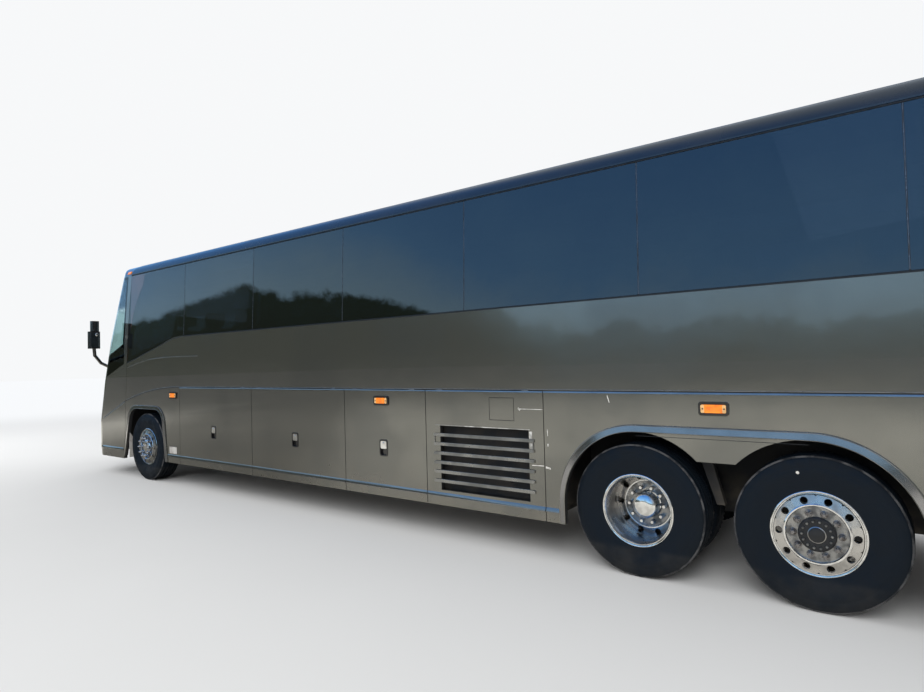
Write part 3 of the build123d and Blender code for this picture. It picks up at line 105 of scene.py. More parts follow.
def prism(outline, y0, y1):
    """Plate with an outline of (x, z) points, from y0 to y1."""
    count = len(outline)
    points = [(x, y, z) for y in (y0, y1) for x, z in outline]
    sides = [(i, (i + 1) % count, count + (i + 1) % count, count + i) for i in range(count)]
    return points, sides + [tuple(range(count)), tuple(reversed(range(count, 2 * count)))]


def lathe(profile, segments=72, wave=None):
    """Ring turned from a closed profile of (radius, y) points about the Y axis."""
    count = len(profile)
    points = []
    for s in range(segments):
        angle = 2 * math.pi * s / segments
        for i, (radius, y) in enumerate(profile):
            if wave and s % 2 and i in wave:
                radius -= wave[i]
            points.append((radius * math.cos(angle), y, radius * math.sin(angle)))
    faces = []
    for s in range(segments):
        t = (s + 1) % segments
        for i in range(count):
            j = (i + 1) % count
            faces.append((s * count + i, s * count + j, t * count + j, t * count + i))
    return points, faces


def ring_of(shape, count, radius):
    """Copies of a shape on a circle about the Y axis."""
    copies = []
    for i in range(count):
        angle = 2 * math.pi * i / count
        copies.append(moved(shape, radius * math.cos(angle), 0, radius * math.sin(angle)))
    return merge(*copies)


def tube(path, radius, sides=10):
    """Round bar along a path of points."""
    points, faces = [], []
    path = [Vector(p) for p in path]
    for i, here in enumerate(path):
        along = (path[min(i + 1, len(path) - 1)] - path[max(i - 1, 0)]).normalized()
        if i == 0:
            across = along.orthogonal().normalized()
        else:
            across = (across - along * across.dot(along)).normalized()
        up = along.cross(across)
        for k in range(sides):
            angle = 2 * math.pi * k / sides
            points.append(tuple(here + radius * (math.cos(angle) * across + math.sin(angle) * up)))
    for i in range(len(path) - 1):
        for k in range(sides):
            j = (k + 1) % sides
            faces.append((i * sides + k, i * sides + j, (i + 1) * sides + j, (i + 1) * sides + k))
    last = (len(path) - 1) * sides
    return points, faces + [tuple(reversed(range(sides))), tuple(range(last, last + sides))]


def rounded(low, high, radius, steps=4):
    """Outline of a rounded rectangle in (x, z), counter-clockwise."""
    outline = []
    corners = ((high[0], high[1], 0), (low[0], high[1], 90), (low[0], low[1], 180), (high[0], low[1], 270))
    for x, z, start in corners:
        cx = x - math.copysign(radius, x - (low[0] + high[0]) / 2)
        cz = z - math.copysign(radius, z - (low[1] + high[1]) / 2)
        for i in range(steps + 1):
            angle = math.radians(start + 90 * i / steps)
            outline.append((cx + radius * math.cos(angle), cz + radius * math.sin(angle)))
    return outline


def along_x(profile, x0, x1):
    """Bar with a profile of (y, z) points, from x0 to x1."""
    count = len(profile)
    points = [(x, y, z) for x in (x0, x1) for y, z in profile]
    sides = [(i, count + i, count + (i + 1) % count, (i + 1) % count) for i in range(count)]
    return points, sides + [tuple(range(count)), tuple(reversed(range(count, 2 * count)))]


def strip(first, second, y0, y1, drop=0.0):
    """Open band between two paths with as many (x, z) points, from y0 to y1, its second edge dropped."""
    count = len(first)
    edges = ((first, y0), (second, y0), (first, y1), (second, y1 - drop))
    points = [(x, y, z) for path, y in edges for x, z in path]
    faces = [(0, 2 * count, 3 * count, count), (count - 1, 2 * count - 1, 4 * count - 1, 3 * count - 1)]
    for i in range(count - 1):
        faces += [
            (i, i + 1, count + i + 1, count + i),
            (2 * count + i, 3 * count + i, 3 * count + i + 1, 2 * count + i + 1),
            (i, 2 * count + i, 2 * count + i + 1, i + 1),
            (count + i, count + i + 1, 3 * count + i + 1, 3 * count + i),
        ]
    return points, faces


def side_y(z):
    """Distance of the side's surface from the middle, at a height."""
    return SKIN_Y - max(0.0, z - BELT_Z) * (SKIN_Y - GUTTER_Y) / (GUTTER_Z - BELT_Z)


def on_side(shape):
    """A shape made with its y measured from the side's surface, laid on the side."""
    return [(x, side_y(z) + y, z) for x, y, z in shape[0]], shape[1]


def nose_path(tip, radius, bow, z, start, steps=10):
    """Points round the front end at a height, from the left side to the right."""
    half = SKIN_Y
    bow_x = tip - bow
    corner_x = bow_x + math.sqrt((bow - radius) ** 2 - (half - radius) ** 2)
    touch = math.atan2(half - radius, corner_x - bow_x)
    path = [(start, half)]
    for i in range(steps + 1):
        angle = math.pi / 2 + (touch - math.pi / 2) * i / steps
        path.append((corner_x + radius * math.cos(angle), half - radius + radius * math.sin(angle)))
    for i in range(1, steps + 1):
        angle = touch * (1 - i / steps)
        path.append((bow_x + bow * math.cos(angle), bow * math.sin(angle)))
    path += [(x, -y) for x, y in reversed(path[:-1])]
    return [(x, y, z) for x, y in path]


def swept(path, profile):
    """Bar along a level path, with a profile of (distance outwards, height) points."""
    count, places = len(profile), len(path)
    points = []
    for i, (x, y, z) in enumerate(path):
        before, after = path[max(i - 1, 0)], path[min(i + 1, places - 1)]
        along = Vector((after[0] - before[0], after[1] - before[1])).normalized()
        out = Vector((-along.y, along.x))
        if out.dot(Vector((x, y))) < 0:
            out = -out
        points += [(x + out.x * d, y + out.y * d, z + h) for d, h in profile]
    faces = [tuple(range(count)), tuple(reversed(range((places - 1) * count, places * count)))]
    for i in range(places - 1):
        for k in range(count):
            j = (k + 1) % count
            faces.append((i * count + k, i * count + j, (i + 1) * count + j, (i + 1) * count + k))
    return points, faces


def frame_ring(outer, inner, y0, y1):
    """Flat frame between two outlines with as many (x, z) points, from y0 to y1."""
    count = len(outer)
    points = [(x, y, z) for y in (y0, y1) for outline in (outer, inner) for x, z in outline]
    faces = []
    for i in range(count):
        j = (i + 1) % count
        faces += [
            (i, j, count + j, count + i), (2 * count + i, 3 * count + i, 3 * count + j, 2 * count + j),
            (i, 2 * count + i, 2 * count + j, j), (count + i, count + j, 3 * count + j, 3 * count + i),
        ]
    return points, faces


def make(name, shape, material, body="coach", bevel=0.0, smooth=30, replaces=()):
    """A piece of the coach from a shape, riding on a body."""
    mesh = bpy.data.meshes.new(name)
    mesh.from_pydata(shape[0], [], shape[1])
    mesh.materials.append(material)
    mesh.polygons.foreach_set("use_smooth", [True] * len(mesh.polygons))
    mesh.set_sharp_from_angle(angle=math.radians(smooth))
    piece = bpy.data.objects.new(name, mesh)
    bpy.context.scene.collection.objects.link(piece)
    if bevel:
        edge = piece.modifiers.new("edge", "BEVEL")
        edge.width = bevel
        edge.segments = 2
        edge.harden_normals = True
    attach(piece, body)
    if replaces:
        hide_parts(*replaces)
    return piece


def new_group(name, inputs, outputs):
    """Shader node group with named float sockets, and its input and output nodes."""
    tree = bpy.data.node_groups.new(name, "ShaderNodeTree")
    for socket, value in inputs.items():
        tree.interface.new_socket(socket, in_out="INPUT", socket_type="NodeSocketFloat").default_value = value
    for socket in outputs:
        tree.interface.new_socket(socket, in_out="OUTPUT", socket_type="NodeSocketFloat")
    return tree, tree.nodes.new("NodeGroupInput"), tree.nodes.new("NodeGroupOutput")


def sum_node(tree, operation, first, second):
    """Math node with its two inputs linked or set, as its output."""
    node = tree.nodes.new("ShaderNodeMath")
    node.operation = operation
    for socket, value in zip(node.inputs, (first, second)):
        if isinstance(value, (int, float)):
            socket.default_value = value
        else:
            tree.links.new(value, socket)
    return node.outputs[0]


def object_place(tree):
    """Point on the piece at rest, in the frame, as (vector, x, y, z) sockets."""
    place = tree.nodes.new("ShaderNodeTexCoord").outputs["Object"]
    split = tree.nodes.new("ShaderNodeSeparateXYZ")
    tree.links.new(place, split.inputs[0])
    return place, *split.outputs


def ramp_between(tree, value, low, high):
    """Value mapped smoothly to 0 at low and 1 at high."""
    node = tree.nodes.new("ShaderNodeMapRange")
    node.interpolation_type = "SMOOTHSTEP"
    tree.links.new(value, node.inputs["Value"])
    for socket, edge in (("From Min", low), ("From Max", high)):
        if isinstance(edge, (int, float)):
            node.inputs[socket].default_value = edge
        else:
            tree.links.new(edge, node.inputs[socket])
    return node.outputs["Result"]


def noise_node(tree, place, scale, detail=3.0):
    """Noise over a place, as its value."""
    node = tree.nodes.new("ShaderNodeTexNoise")
    node.inputs["Detail"].default_value = detail
    tree.links.new(place, node.inputs["Vector"])
    if isinstance(scale, (int, float)):
        node.inputs["Scale"].default_value = scale
    else:
        tree.links.new(scale, node.inputs["Scale"])
    return node.outputs["Fac"]


def make_patches_group():
    """Soft patches of wear or shade."""
    tree, given, result = new_group("patches", {"Scale": 3.0, "Low": 0.4, "High": 0.65}, ["Mask"])
    value = noise_node(tree, object_place(tree)[0], given.outputs["Scale"], 6.0)
    mask = ramp_between(tree, value, given.outputs["Low"], given.outputs["High"])
    tree.links.new(mask, result.inputs["Mask"])
    return tree


def make_dust_group():
    """Road dust that thins with height and lies in streaks."""
    tree, given, result = new_group("road_dust", {"Top": 0.9, "Amount": 0.4, "Scale": 6.0}, ["Mask"])
    place, _, _, z = object_place(tree)
    height = ramp_between(tree, z, given.outputs["Top"], 0.2)
    streaks = ramp_between(tree, noise_node(tree, place, given.outputs["Scale"], 8.0), 0.25, 0.75)
    mask = sum_node(tree, "MULTIPLY", sum_node(tree, "MULTIPLY", height, streaks), given.outputs["Amount"])
    tree.links.new(mask, result.inputs["Mask"])
    return tree


def make_grain_group():
    """Fine grain as a height."""
    tree, given, result = new_group("grain", {"Scale": 400.0}, ["Height"])
    height = noise_node(tree, object_place(tree)[0], given.outputs["Scale"], 2.0)
    tree.links.new(height, result.inputs["Height"])
    return tree


def make_inside_group():
    """Mask of the faces behind the outer skin or over a height."""
    tree, given, result = new_group("behind_skin", {"Skin": SKIN_Y - 0.0025, "Top": 9.0}, ["Mask"])
    _, _, y, z = object_place(tree)
    behind = sum_node(tree, "LESS_THAN", sum_node(tree, "ABSOLUTE", y, 0), given.outputs["Skin"])
    over = sum_node(tree, "GREATER_THAN", z, given.outputs["Top"])
    tree.links.new(sum_node(tree, "MAXIMUM", behind, over), result.inputs["Mask"])
    return tree


def make_weave_group():
    """Woven cloth as a height, and a mask of its two yarns."""
    tree, given, result = new_group("weave", {"Scale": 90.0}, ["Height", "Mask"])
    place = object_place(tree)[0]
    heights = []
    for direction in ("X", "Z"):
        wave = tree.nodes.new("ShaderNodeTexWave")
        wave.bands_direction = direction
        tree.links.new(place, wave.inputs["Vector"])
        tree.links.new(given.outputs["Scale"], wave.inputs["Scale"])
        heights.append(wave.outputs["Fac"])
    tree.links.new(sum_node(tree, "MULTIPLY", *heights), result.inputs["Height"])
    tree.links.new(ramp_between(tree, noise_node(tree, place, 14.0), 0.45, 0.6), result.inputs["Mask"])
    return tree


# Windscreen's printed border: lines of its foot and sides, its middle post and its top, and the darker blue
# top band, a tint that also stands for a painted sky reflection
FOOT_SLOPE = 0.335
FOOT_LEVEL = 4.06
SIDE_SLOPE = 0.0722
SIDE_LEVEL = 5.775
POST_HALF = 0.035
BORDER_TOP_Z = 3.25
SKY_TINT_Z = (2.72, 2.82)


def make_screen_group():
    """Masks of the windscreen's printed border and of its darker blue top band, partly a painted sky
    reflection.
    """
    tree, given, result = new_group(
        "screen_bands", {"Low": FOOT_LEVEL, "Sky_Tint": SKY_TINT_Z[0]}, ["Border", "Sky_Tint"],
    )
    _, x, y, z = object_place(tree)
    low = sum_node(tree, "ADD", z, sum_node(tree, "MULTIPLY", x, FOOT_SLOPE))
    foot = sum_node(tree, "LESS_THAN", low, given.outputs["Low"])
    lean = sum_node(tree, "ADD", x, sum_node(tree, "MULTIPLY", z, SIDE_SLOPE))
    edge = sum_node(tree, "LESS_THAN", lean, SIDE_LEVEL)
    post = sum_node(tree, "LESS_THAN", sum_node(tree, "ABSOLUTE", y, 0), POST_HALF)
    top = sum_node(tree, "GREATER_THAN", z, BORDER_TOP_Z)
    sides = sum_node(tree, "MAXIMUM", foot, edge)
    middle = sum_node(tree, "MAXIMUM", post, top)
    tree.links.new(sum_node(tree, "MAXIMUM", sides, middle), result.inputs["Border"])
    shade = tree.nodes.new("ShaderNodeMapRange")
    tree.links.new(z, shade.inputs["Value"])
    tree.links.new(given.outputs["Sky_Tint"], shade.inputs["From Min"])
    shade.inputs["From Max"].default_value = SKY_TINT_Z[1]
    tree.links.new(shade.outputs["Result"], result.inputs["Sky_Tint"])
    return tree


def make_fins_group():
    """Upright fins of a cooling core as a height."""
    tree, given, result = new_group("fins", {"Scale": 40.0}, ["Height"])
    wave = tree.nodes.new("ShaderNodeTexWave")
    wave.bands_direction = "X"
    tree.links.new(object_place(tree)[0], wave.inputs["Vector"])
    tree.links.new(given.outputs["Scale"], wave.inputs["Scale"])
    tree.links.new(wave.outputs["Fac"], result.inputs["Height"])
    return tree


GROUPS = {
    "patches": make_patches_group(),
    "dust": make_dust_group(),
    "grain": make_grain_group(),
    "inside": make_inside_group(),
    "weave": make_weave_group(),
    "fins": make_fins_group(),
    "screen": make_screen_group(),
}
DUST = (0.33, 0.28, 0.21)
UNDERSEAL = (0.018, 0.018, 0.019)


def place_group(tree, name, **values):
    """A group's node in a material, with its own values."""
    node = tree.nodes.new("ShaderNodeGroup")
    node.node_tree = GROUPS[name]
    for socket, value in values.items():
        node.inputs[socket].default_value = value
    return node


def mix_colour(tree, mask, first, second):
    """Two colours mixed by a mask, as the output socket."""
    node = tree.nodes.new("ShaderNodeMix")
    node.data_type = "RGBA"
    tree.links.new(mask, node.inputs["Factor"])
    sockets = [s for s in node.inputs if s.type == "RGBA"]
    for socket, value in zip(sockets, (first, second)):
        if isinstance(value, tuple):
            socket.default_value = (*value, 1.0)
        else:
            tree.links.new(value, socket)
    return [s for s in node.outputs if s.type == "RGBA"][0]


def finish(
    name, colour, worn=None, rough=(0.4, 0.5), metallic=0.0, coat=0.0, patch=3.0, grain=400.0, bump=0.05,
    dust=0.0, dust_top=0.9, inside=None, relief="grain", glow=0.0, glass=0.0, wave=0.0, banded=False,
    clear_coat=0.04, specular=0.5,
):
    """Material with patchy wear, road dust, grain and, where asked, an undersealed inside."""
    material = bpy.data.materials.new(name)
    material.use_nodes = True
    tree = material.node_tree
    shader = tree.nodes["Principled BSDF"]
    shader.inputs["Metallic"].default_value = metallic
    shader.inputs["Coat Weight"].default_value = coat
    shader.inputs["Coat Roughness"].default_value = clear_coat
    shader.inputs["Specular IOR Level"].default_value = specular
    worn = worn or tuple(0.75 * c for c in colour)
    patches = place_group(tree, "patches", Scale=patch)
    mask = patches.outputs["Mask"]
    base = mix_colour(tree, mask, colour, worn)
    roughness = tree.nodes.new("ShaderNodeMapRange")
    roughness.inputs["To Min"].default_value, roughness.inputs["To Max"].default_value = rough
    level = roughness.outputs["Result"]
    tree.links.new(mask, roughness.inputs["Value"])
    if dust:
        film = place_group(tree, "dust", Top=dust_top, Amount=dust).outputs["Mask"]
        base = mix_colour(tree, film, base, DUST)
        level = sum_node(tree, "ADD", level, sum_node(tree, "MULTIPLY", film, 0.5))
    if inside is not None:
        hidden = place_group(tree, "inside", **inside).outputs["Mask"]
        base = mix_colour(tree, hidden, base, UNDERSEAL)
        level = sum_node(tree, "ADD", level, sum_node(tree, "MULTIPLY", hidden, 0.5))
        if metallic:
            seen = sum_node(tree, "SUBTRACT", 1.0, hidden)
            tree.links.new(sum_node(tree, "MULTIPLY", seen, metallic), shader.inputs["Metallic"])
            tree.links.new(sum_node(tree, "MULTIPLY", seen, coat), shader.inputs["Coat Weight"])
    if banded:
        bands = place_group(tree, "screen")
        # Darker blue top band, a tint band whose blue also stands for a painted sky reflection
        base = mix_colour(tree, bands.outputs["Sky_Tint"], base, (0.07, 0.14, 0.22))
        base = mix_colour(tree, bands.outputs["Border"], base, (0.004, 0.005, 0.006))
    tree.links.new(base, shader.inputs["Base Color"])
    tree.links.new(level, shader.inputs["Roughness"])
    height = place_group(tree, relief, Scale=grain)
    dent = tree.nodes.new("ShaderNodeBump")
    dent.inputs["Strength"].default_value = bump
    dent.inputs["Distance"].default_value = 0.002
    tree.links.new(height.outputs["Height"], dent.inputs["Height"])
    tree.links.new(dent.outputs["Normal"], shader.inputs["Normal"])
    if wave:
        swell = tree.nodes.new("ShaderNodeBump")
        swell.inputs["Strength"].default_value = wave
        swell.inputs["Distance"].default_value = 0.02
        tree.links.new(place_group(tree, "grain", Scale=1.7).outputs["Height"], swell.inputs["Height"])
        tree.links.new(swell.outputs["Normal"], dent.inputs["Normal"])
    if glow:
        tree.links.new(base, shader.inputs["Emission Color"])
        shader.inputs["Emission Strength"].default_value = glow
    if glass:
        shader.inputs["Transmission Weight"].default_value = 1.0
        shader.inputs["IOR"].default_value = glass
    return material


PEWTER = (0.2, 0.2, 0.183)
PEWTER_WORN = (0.165, 0.166, 0.153)
BODY_LOOK = {"metallic": 0.85, "coat": 1.0, "grain": 900.0, "bump": 0.02, "wave": 0.16, "clear_coat": 0.02}
paint = finish(
    "pewter_paint", PEWTER, PEWTER_WORN, rough=(0.17, 0.23), patch=1.3, dust=0.25, inside={}, **BODY_LOOK,
)
end_paint = finish(
    "pewter_end_paint", PEWTER, PEWTER_WORN, rough=(0.17, 0.23), patch=1.3, dust=0.2, **BODY_LOOK,
)
wall_paint = finish(
    "pewter_wall_paint", PEWTER, PEWTER_WORN, rough=(0.15, 0.2), patch=1.0, inside={"Top": BELT_Z + 0.004},
    **BODY_LOOK,
)
# Dark blue-black roof: partly its paint, partly a painted reflection of the sky along the rail above the
# gutter
roof_paint_and_reflection = finish(
    "roof_paint_and_reflection", (0.01, 0.017, 0.028), (0.014, 0.02, 0.03), rough=(0.2, 0.32), metallic=0.1, coat=0.45,
    patch=1.5,
)
# Lighter, more metallic paint for painted highlights: along the crease, under the panel line, along the
# bumper's ledge and round the arch bands' edges
highlight_paint = finish(
    "painted_highlight_lines", (0.24, 0.235, 0.215), (0.15, 0.147, 0.135), rough=(0.22, 0.36), metallic=0.8, coat=0.6,
    patch=5.0, dust=0.25, dust_top=0.8,
)
slat_paint = finish(
    "slat_paint", (0.3, 0.3, 0.29), (0.2, 0.2, 0.19), rough=(0.25, 0.4), metallic=0.8, patch=4.0, dust=0.1,
)
scuffed_paint = finish(
    "scuffed_paint", (0.2, 0.197, 0.18), (0.6, 0.59, 0.56), rough=(0.3, 0.6), patch=9.0, grain=150.0,
    bump=0.2,
)
bare_paint = finish(
    "bare_paint", (0.72, 0.7, 0.66), (0.34, 0.33, 0.3), rough=(0.5, 0.7), patch=30.0, grain=200.0,
)
plate_white = finish(
    "blank_plate", (0.7, 0.7, 0.68), (0.6, 0.6, 0.58), rough=(0.4, 0.55), patch=14.0, grain=60.0,
)
pale_plastic = finish(
    "pale_plastic", (0.5, 0.49, 0.47), (0.36, 0.34, 0.32), rough=(0.45, 0.6), patch=12.0, dust=0.4,
)
pillar_brown = finish(
    "pillar_band", (0.06, 0.03, 0.022), (0.035, 0.019, 0.015), rough=(0.04, 0.08), coat=0.8, patch=3.0,
    grain=40.0,
)
mirror_glass = finish(
    "mirror_glass", (0.2, 0.25, 0.29), (0.16, 0.2, 0.23), rough=(0.02, 0.05), metallic=1.0, patch=8.0,
    grain=30.0, bump=0.01,
)
# Pale bluish metal for painted highlights: a strip along the roof's top edge and a thin line down each window
# divider
painted_highlight_trim = finish(
    "painted_highlight_trim", (0.22, 0.25, 0.29), (0.12, 0.13, 0.15), rough=(0.25, 0.4), metallic=0.8, patch=8.0,
)
edge_paint = finish(
    "edge_paint", (0.26, 0.26, 0.27), (0.21, 0.21, 0.215), rough=(0.1, 0.17), metallic=0.9, coat=1.0,
    patch=3.0, clear_coat=0.02,
)
disc_metal = finish(
    "worn_disc", (0.36, 0.36, 0.36), (0.17, 0.165, 0.16), rough=(0.26, 0.45), metallic=1.0, patch=16.0,
    grain=300.0, bump=0.15, dust=0.15, dust_top=0.7,
)
pale_amber = finish(
    "pale_amber", (0.8, 0.5, 0.22), (0.7, 0.4, 0.16), rough=(0.15, 0.25), coat=0.5, patch=20.0,
)
dark_line = finish("dark_line", (0.01, 0.011, 0.013), rough=(0.35, 0.5), patch=8.0)
side_glass = finish(
    "side_glass", (0.01, 0.016, 0.024), (0.008, 0.013, 0.02), rough=(0.002, 0.009), patch=0.6, grain=3.0,
    bump=0.002, glass=1.98, wave=0.015,
)
screen_glass = finish(
    "screen_glass", (0.5, 0.66, 0.66), (0.46, 0.61, 0.61), rough=(0.01, 0.03), patch=1.0, grain=3.0,
    bump=0.003, glass=1.5, banded=True,
)
door_glass = finish(
    "door_glass", (0.3, 0.4, 0.42), (0.27, 0.36, 0.38), rough=(0.01, 0.03), patch=1.0, grain=3.0, bump=0.003,
    glass=1.5,
)
lens_glass = finish(
    "lens_glass", (0.9, 0.92, 0.94), (0.82, 0.84, 0.86), rough=(0.02, 0.05), patch=9.0, grain=60.0, bump=0.01,
    glass=1.5,
)
amber = finish(
    "amber_lens", (0.85, 0.24, 0.015), (0.75, 0.17, 0.01), rough=(0.15, 0.25), coat=0.5, glow=0.25, patch=20,
)
# Red lens, glowing faintly; on the rear reflectors, which are no lamps, this glow is painted light
red = finish(
    "red_lens", (0.45, 0.012, 0.01), (0.35, 0.01, 0.01), rough=(0.15, 0.25), coat=0.5, glow=0.15, patch=20,
)
clear_lamp = finish("clear_lamp", (0.62, 0.62, 0.6), (0.5, 0.5, 0.48), rough=(0.1, 0.2), coat=0.5, patch=20)
chrome = finish(
    "polished_aluminium", (0.6, 0.59, 0.58), (0.4, 0.39, 0.38), rough=(0.24, 0.38), metallic=1.0, patch=7.0,
    grain=700.0, bump=0.05,
)
bright_chrome = finish(
    "chrome", (0.86, 0.87, 0.88), (0.7, 0.7, 0.7), rough=(0.05, 0.14), metallic=1.0, patch=25.0,
)
dull_steel = finish(
    "dull_steel", (0.26, 0.25, 0.25), (0.13, 0.11, 0.1), rough=(0.3, 0.5), metallic=0.9, patch=30.0, dust=0.2,
)
rubber = finish(
    "tyre_rubber", (0.004, 0.0075, 0.0125), (0.007, 0.01, 0.014), rough=(0.5, 0.75), patch=9.0, grain=260.0,
    bump=0.25, dust=0.04, dust_top=0.25, specular=0.16,
)
worn_rubber = finish("worn_rubber", (0.07, 0.07, 0.072), (0.012, 0.013, 0.015), rough=(0.7, 0.9), patch=14.0)
gloss_black = finish("gloss_black", (0.008, 0.008, 0.009), rough=(0.12, 0.22), coat=0.5, patch=9.0)
seal_black = finish(
    "seal_rubber", (0.01, 0.01, 0.011), (0.02, 0.02, 0.02), rough=(0.5, 0.7), patch=20.0, grain=300.0,
)
chassis = finish(
    "chassis_paint", (0.02, 0.02, 0.021), (0.06, 0.045, 0.032), rough=(0.5, 0.8), patch=5.0, dust=0.6,
)
iron = finish(
    "axle_iron", (0.03, 0.029, 0.028), (0.085, 0.05, 0.03), rough=(0.6, 0.85), patch=9.0, bump=0.3, dust=0.5,
)
sheet = finish(
    "housing_sheet", UNDERSEAL, (0.03, 0.028, 0.026), rough=(0.75, 0.9), patch=6.0, bump=0.3, dust=0.5,
)
core = finish(
    "cooling_core", (0.03, 0.03, 0.031), (0.06, 0.052, 0.045), rough=(0.5, 0.7), metallic=0.6, relief="fins",
    grain=60.0, bump=0.8, patch=6.0,
)
cabin_grey = finish(
    "cabin_plastic", (0.06, 0.062, 0.066), (0.05, 0.05, 0.053), rough=(0.5, 0.65), grain=500.0, bump=0.2,
)
carpet = finish(
    "floor_covering", (0.045, 0.046, 0.05), (0.03, 0.03, 0.034), rough=(0.8, 0.95), grain=250.0, bump=0.6,
)
cloth = finish(
    "seat_cloth", (0.035, 0.045, 0.085), (0.09, 0.05, 0.05), rough=(0.8, 0.95), relief="weave", grain=90.0,
    bump=0.4, patch=22.0,
)

NODE_FINISH = {
    "underframe": chassis, "cabin_floor": carpet, "wheel_housings": sheet, "side_walls": wall_paint,
    "lower_panels": paint, "roof": roof_paint_and_reflection, "front_cap": end_paint, "rear_cap": end_paint,
    "bumpers": end_paint, "side_and_rear_glass": side_glass, "windscreen": screen_glass,
    "headlamps": lens_glass, "tail_lamps": red, "entry_door": end_paint, "entry_door_glass": door_glass,
    "engine_door": end_paint, "mirrors": gloss_black, "wipers": seal_black, "dashboard": cabin_grey,
    "steering_wheel": seal_black, "driver_seat": cloth, "passenger_seats": cloth, "parcel_racks": cabin_grey,
    "engine": iron, "cooling_cores": core, "marker_lamps": amber, "front_axle": iron, "drive_axle": iron,
    "tag_axle": iron,
}


def dress_frame():
    """Give every node of the frame its finish."""
    for name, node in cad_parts.items():
        if name in FLAPS:
            finish_of = paint
        elif name.startswith("tyre"):
            finish_of = rubber
        elif name.startswith("wheel_") and name != "wheel_housings":
            finish_of = chrome
        elif name.startswith("knuckle"):
            finish_of = iron
        else:
            finish_of = NODE_FINISH[name]
        node.data.materials.clear()
        node.data.materials.append(finish_of)


# Ends in plan: height and tip of each row, bow and corner radius, as in the part
END_FORMS = {
    1: (
        [(0.24, 6.87), (0.48, 6.918), (0.86, 6.92), (1.55, 6.745), (2.23, 6.5), (3.3, 6.06), (3.42, 5.98)],
        4.5, 0.45,
    ),
    -1: (
        [(0.24, 6.87), (0.48, 6.918), (0.86, 6.92), (1.55, 6.9), (2.23, 6.84), (3.3, 6.69), (3.44, 6.63)],
        9.0, 0.26,
    ),
}


def end_corner(z, sign):
    """Tip, middle of the corner arc, bow and corner radius of an end at a height."""
    levels, bow, radius = END_FORMS[sign]
    for low, high in zip(levels, levels[1:]):
        if low[0] <= z <= high[0]:
            tip = low[1] + (high[1] - low[1]) * (z - low[0]) / (high[0] - low[0])
    corner_x = tip - bow + math.sqrt((bow - radius) ** 2 - (SKIN_Y - radius) ** 2)
    return tip, corner_x, bow, radius


def end_x(y, z, sign):
    """Distance of an end's surface from the origin at a place on it."""
    tip, corner_x, bow, radius = end_corner(z, sign)
    turn = math.atan2(SKIN_Y - radius, corner_x - tip + bow)
    if abs(y) <= bow * math.sin(turn):
        return tip - bow + math.sqrt(bow**2 - y**2)
    across = min(abs(y) - SKIN_Y + radius, radius)
    return corner_x + math.sqrt(radius**2 - across**2)


def front_side_y(x, z):
    """Distance of the front end's side from the middle, round its corner."""
    _, corner_x, _, radius = end_corner(z, 1)
    beyond = max(0.0, min(x - corner_x, radius))
    return min(side_y(z), SKIN_Y - radius + math.sqrt(radius**2 - beyond**2))


def plate_on_end(low, high, sign, cells=(12, 3)):
    """Plate that follows an end, its corners given as (depth outwards, y, z)."""
    (d0, y0, z0), (d1, y1, z1) = low, high
    nu, nv = cells
    points = []
    for d in (d0, d1):
        for i in range(nu + 1):
            for j in range(nv + 1):
                y, z = y0 + (y1 - y0) * i / nu, z0 + (z1 - z0) * j / nv
                points.append((sign * (end_x(y, z, sign) + d), y, z))
    layer = (nu + 1) * (nv + 1)
    faces = []
    for i in range(nu):
        for j in range(nv):
            a, b = i * (nv + 1) + j, (i + 1) * (nv + 1) + j
            faces += [(a, b, b + 1, a + 1), (layer + a, layer + a + 1, layer + b + 1, layer + b)]
    for i in range(nu):
        for j in (0, nv):
            a, b = i * (nv + 1) + j, (i + 1) * (nv + 1) + j
            faces.append((a, layer + a, layer + b, b))
    for j in range(nv):
        for i in (0, nu):
            a = i * (nv + 1) + j
            faces.append((a, a + 1, layer + a + 1, layer + a))
    return points, faces


def set_on_end(shape, y, z, sign):
    """A shape turned from +Y to stand on an end's surface, at a place on it."""
    step = 0.01
    across = (end_x(y + step, z, sign) - end_x(y - step, z, sign)) / (2 * step)
    upward = (end_x(y, z + step, sign) - end_x(y, z - step, sign)) / (2 * step)
    outward = Vector((sign, -across, -upward))
    turn = Vector((0, 1, 0)).rotation_difference(outward).to_matrix().to_4x4()
    return turned(shape, Matrix.Translation((sign * end_x(y, z, sign), y, z)) @ turn)


def facing(shape, place, sign):
    """A shape turned from +Y to an end's outward direction, at a place."""
    matrix = Matrix.Translation(place) @ Matrix.Rotation(-sign * math.pi / 2, 4, "Z")
    return turned(shape, matrix)


# Half of the tyre's section, from the bead to the middle of the tread, as (radius, distance from its plane)
TYRE_SECTION = [
    (0.284, 0.104), (0.2855, 0.1262), (0.29, 0.1295), (0.3, 0.1315), (0.314, 0.1325), (0.33, 0.136),
    (0.334, 0.137), (0.338, 0.137), (0.37, 0.145), (0.41, 0.15), (0.44, 0.151), (0.444, 0.1495),
    (0.449, 0.1495), (0.453, 0.15), (0.475, 0.146), (0.498, 0.14), (0.511, 0.134), (0.5215, 0.124),
    (0.525, 0.112), (0.525, 0.078), (0.512, 0.075), (0.512, 0.065), (0.525, 0.062), (0.525, 0.026),
    (0.512, 0.023), (0.512, 0.013), (0.525, 0.01),
]
TREAD_WAVE = 0.006
TREAD_RINGS = (16, 17, 18)
NUTS = 10
NUT_RING = 0.143
FLANGE_BOLTS = 14
FLANGE_BOLT_RING = 0.089
HOLES = 10
HOLE_R = 0.0245
HOLE_RING = 0.23
HOLE_PITCH = 2 * math.pi * HOLE_RING / HOLES
HOLE_STEPS = 40
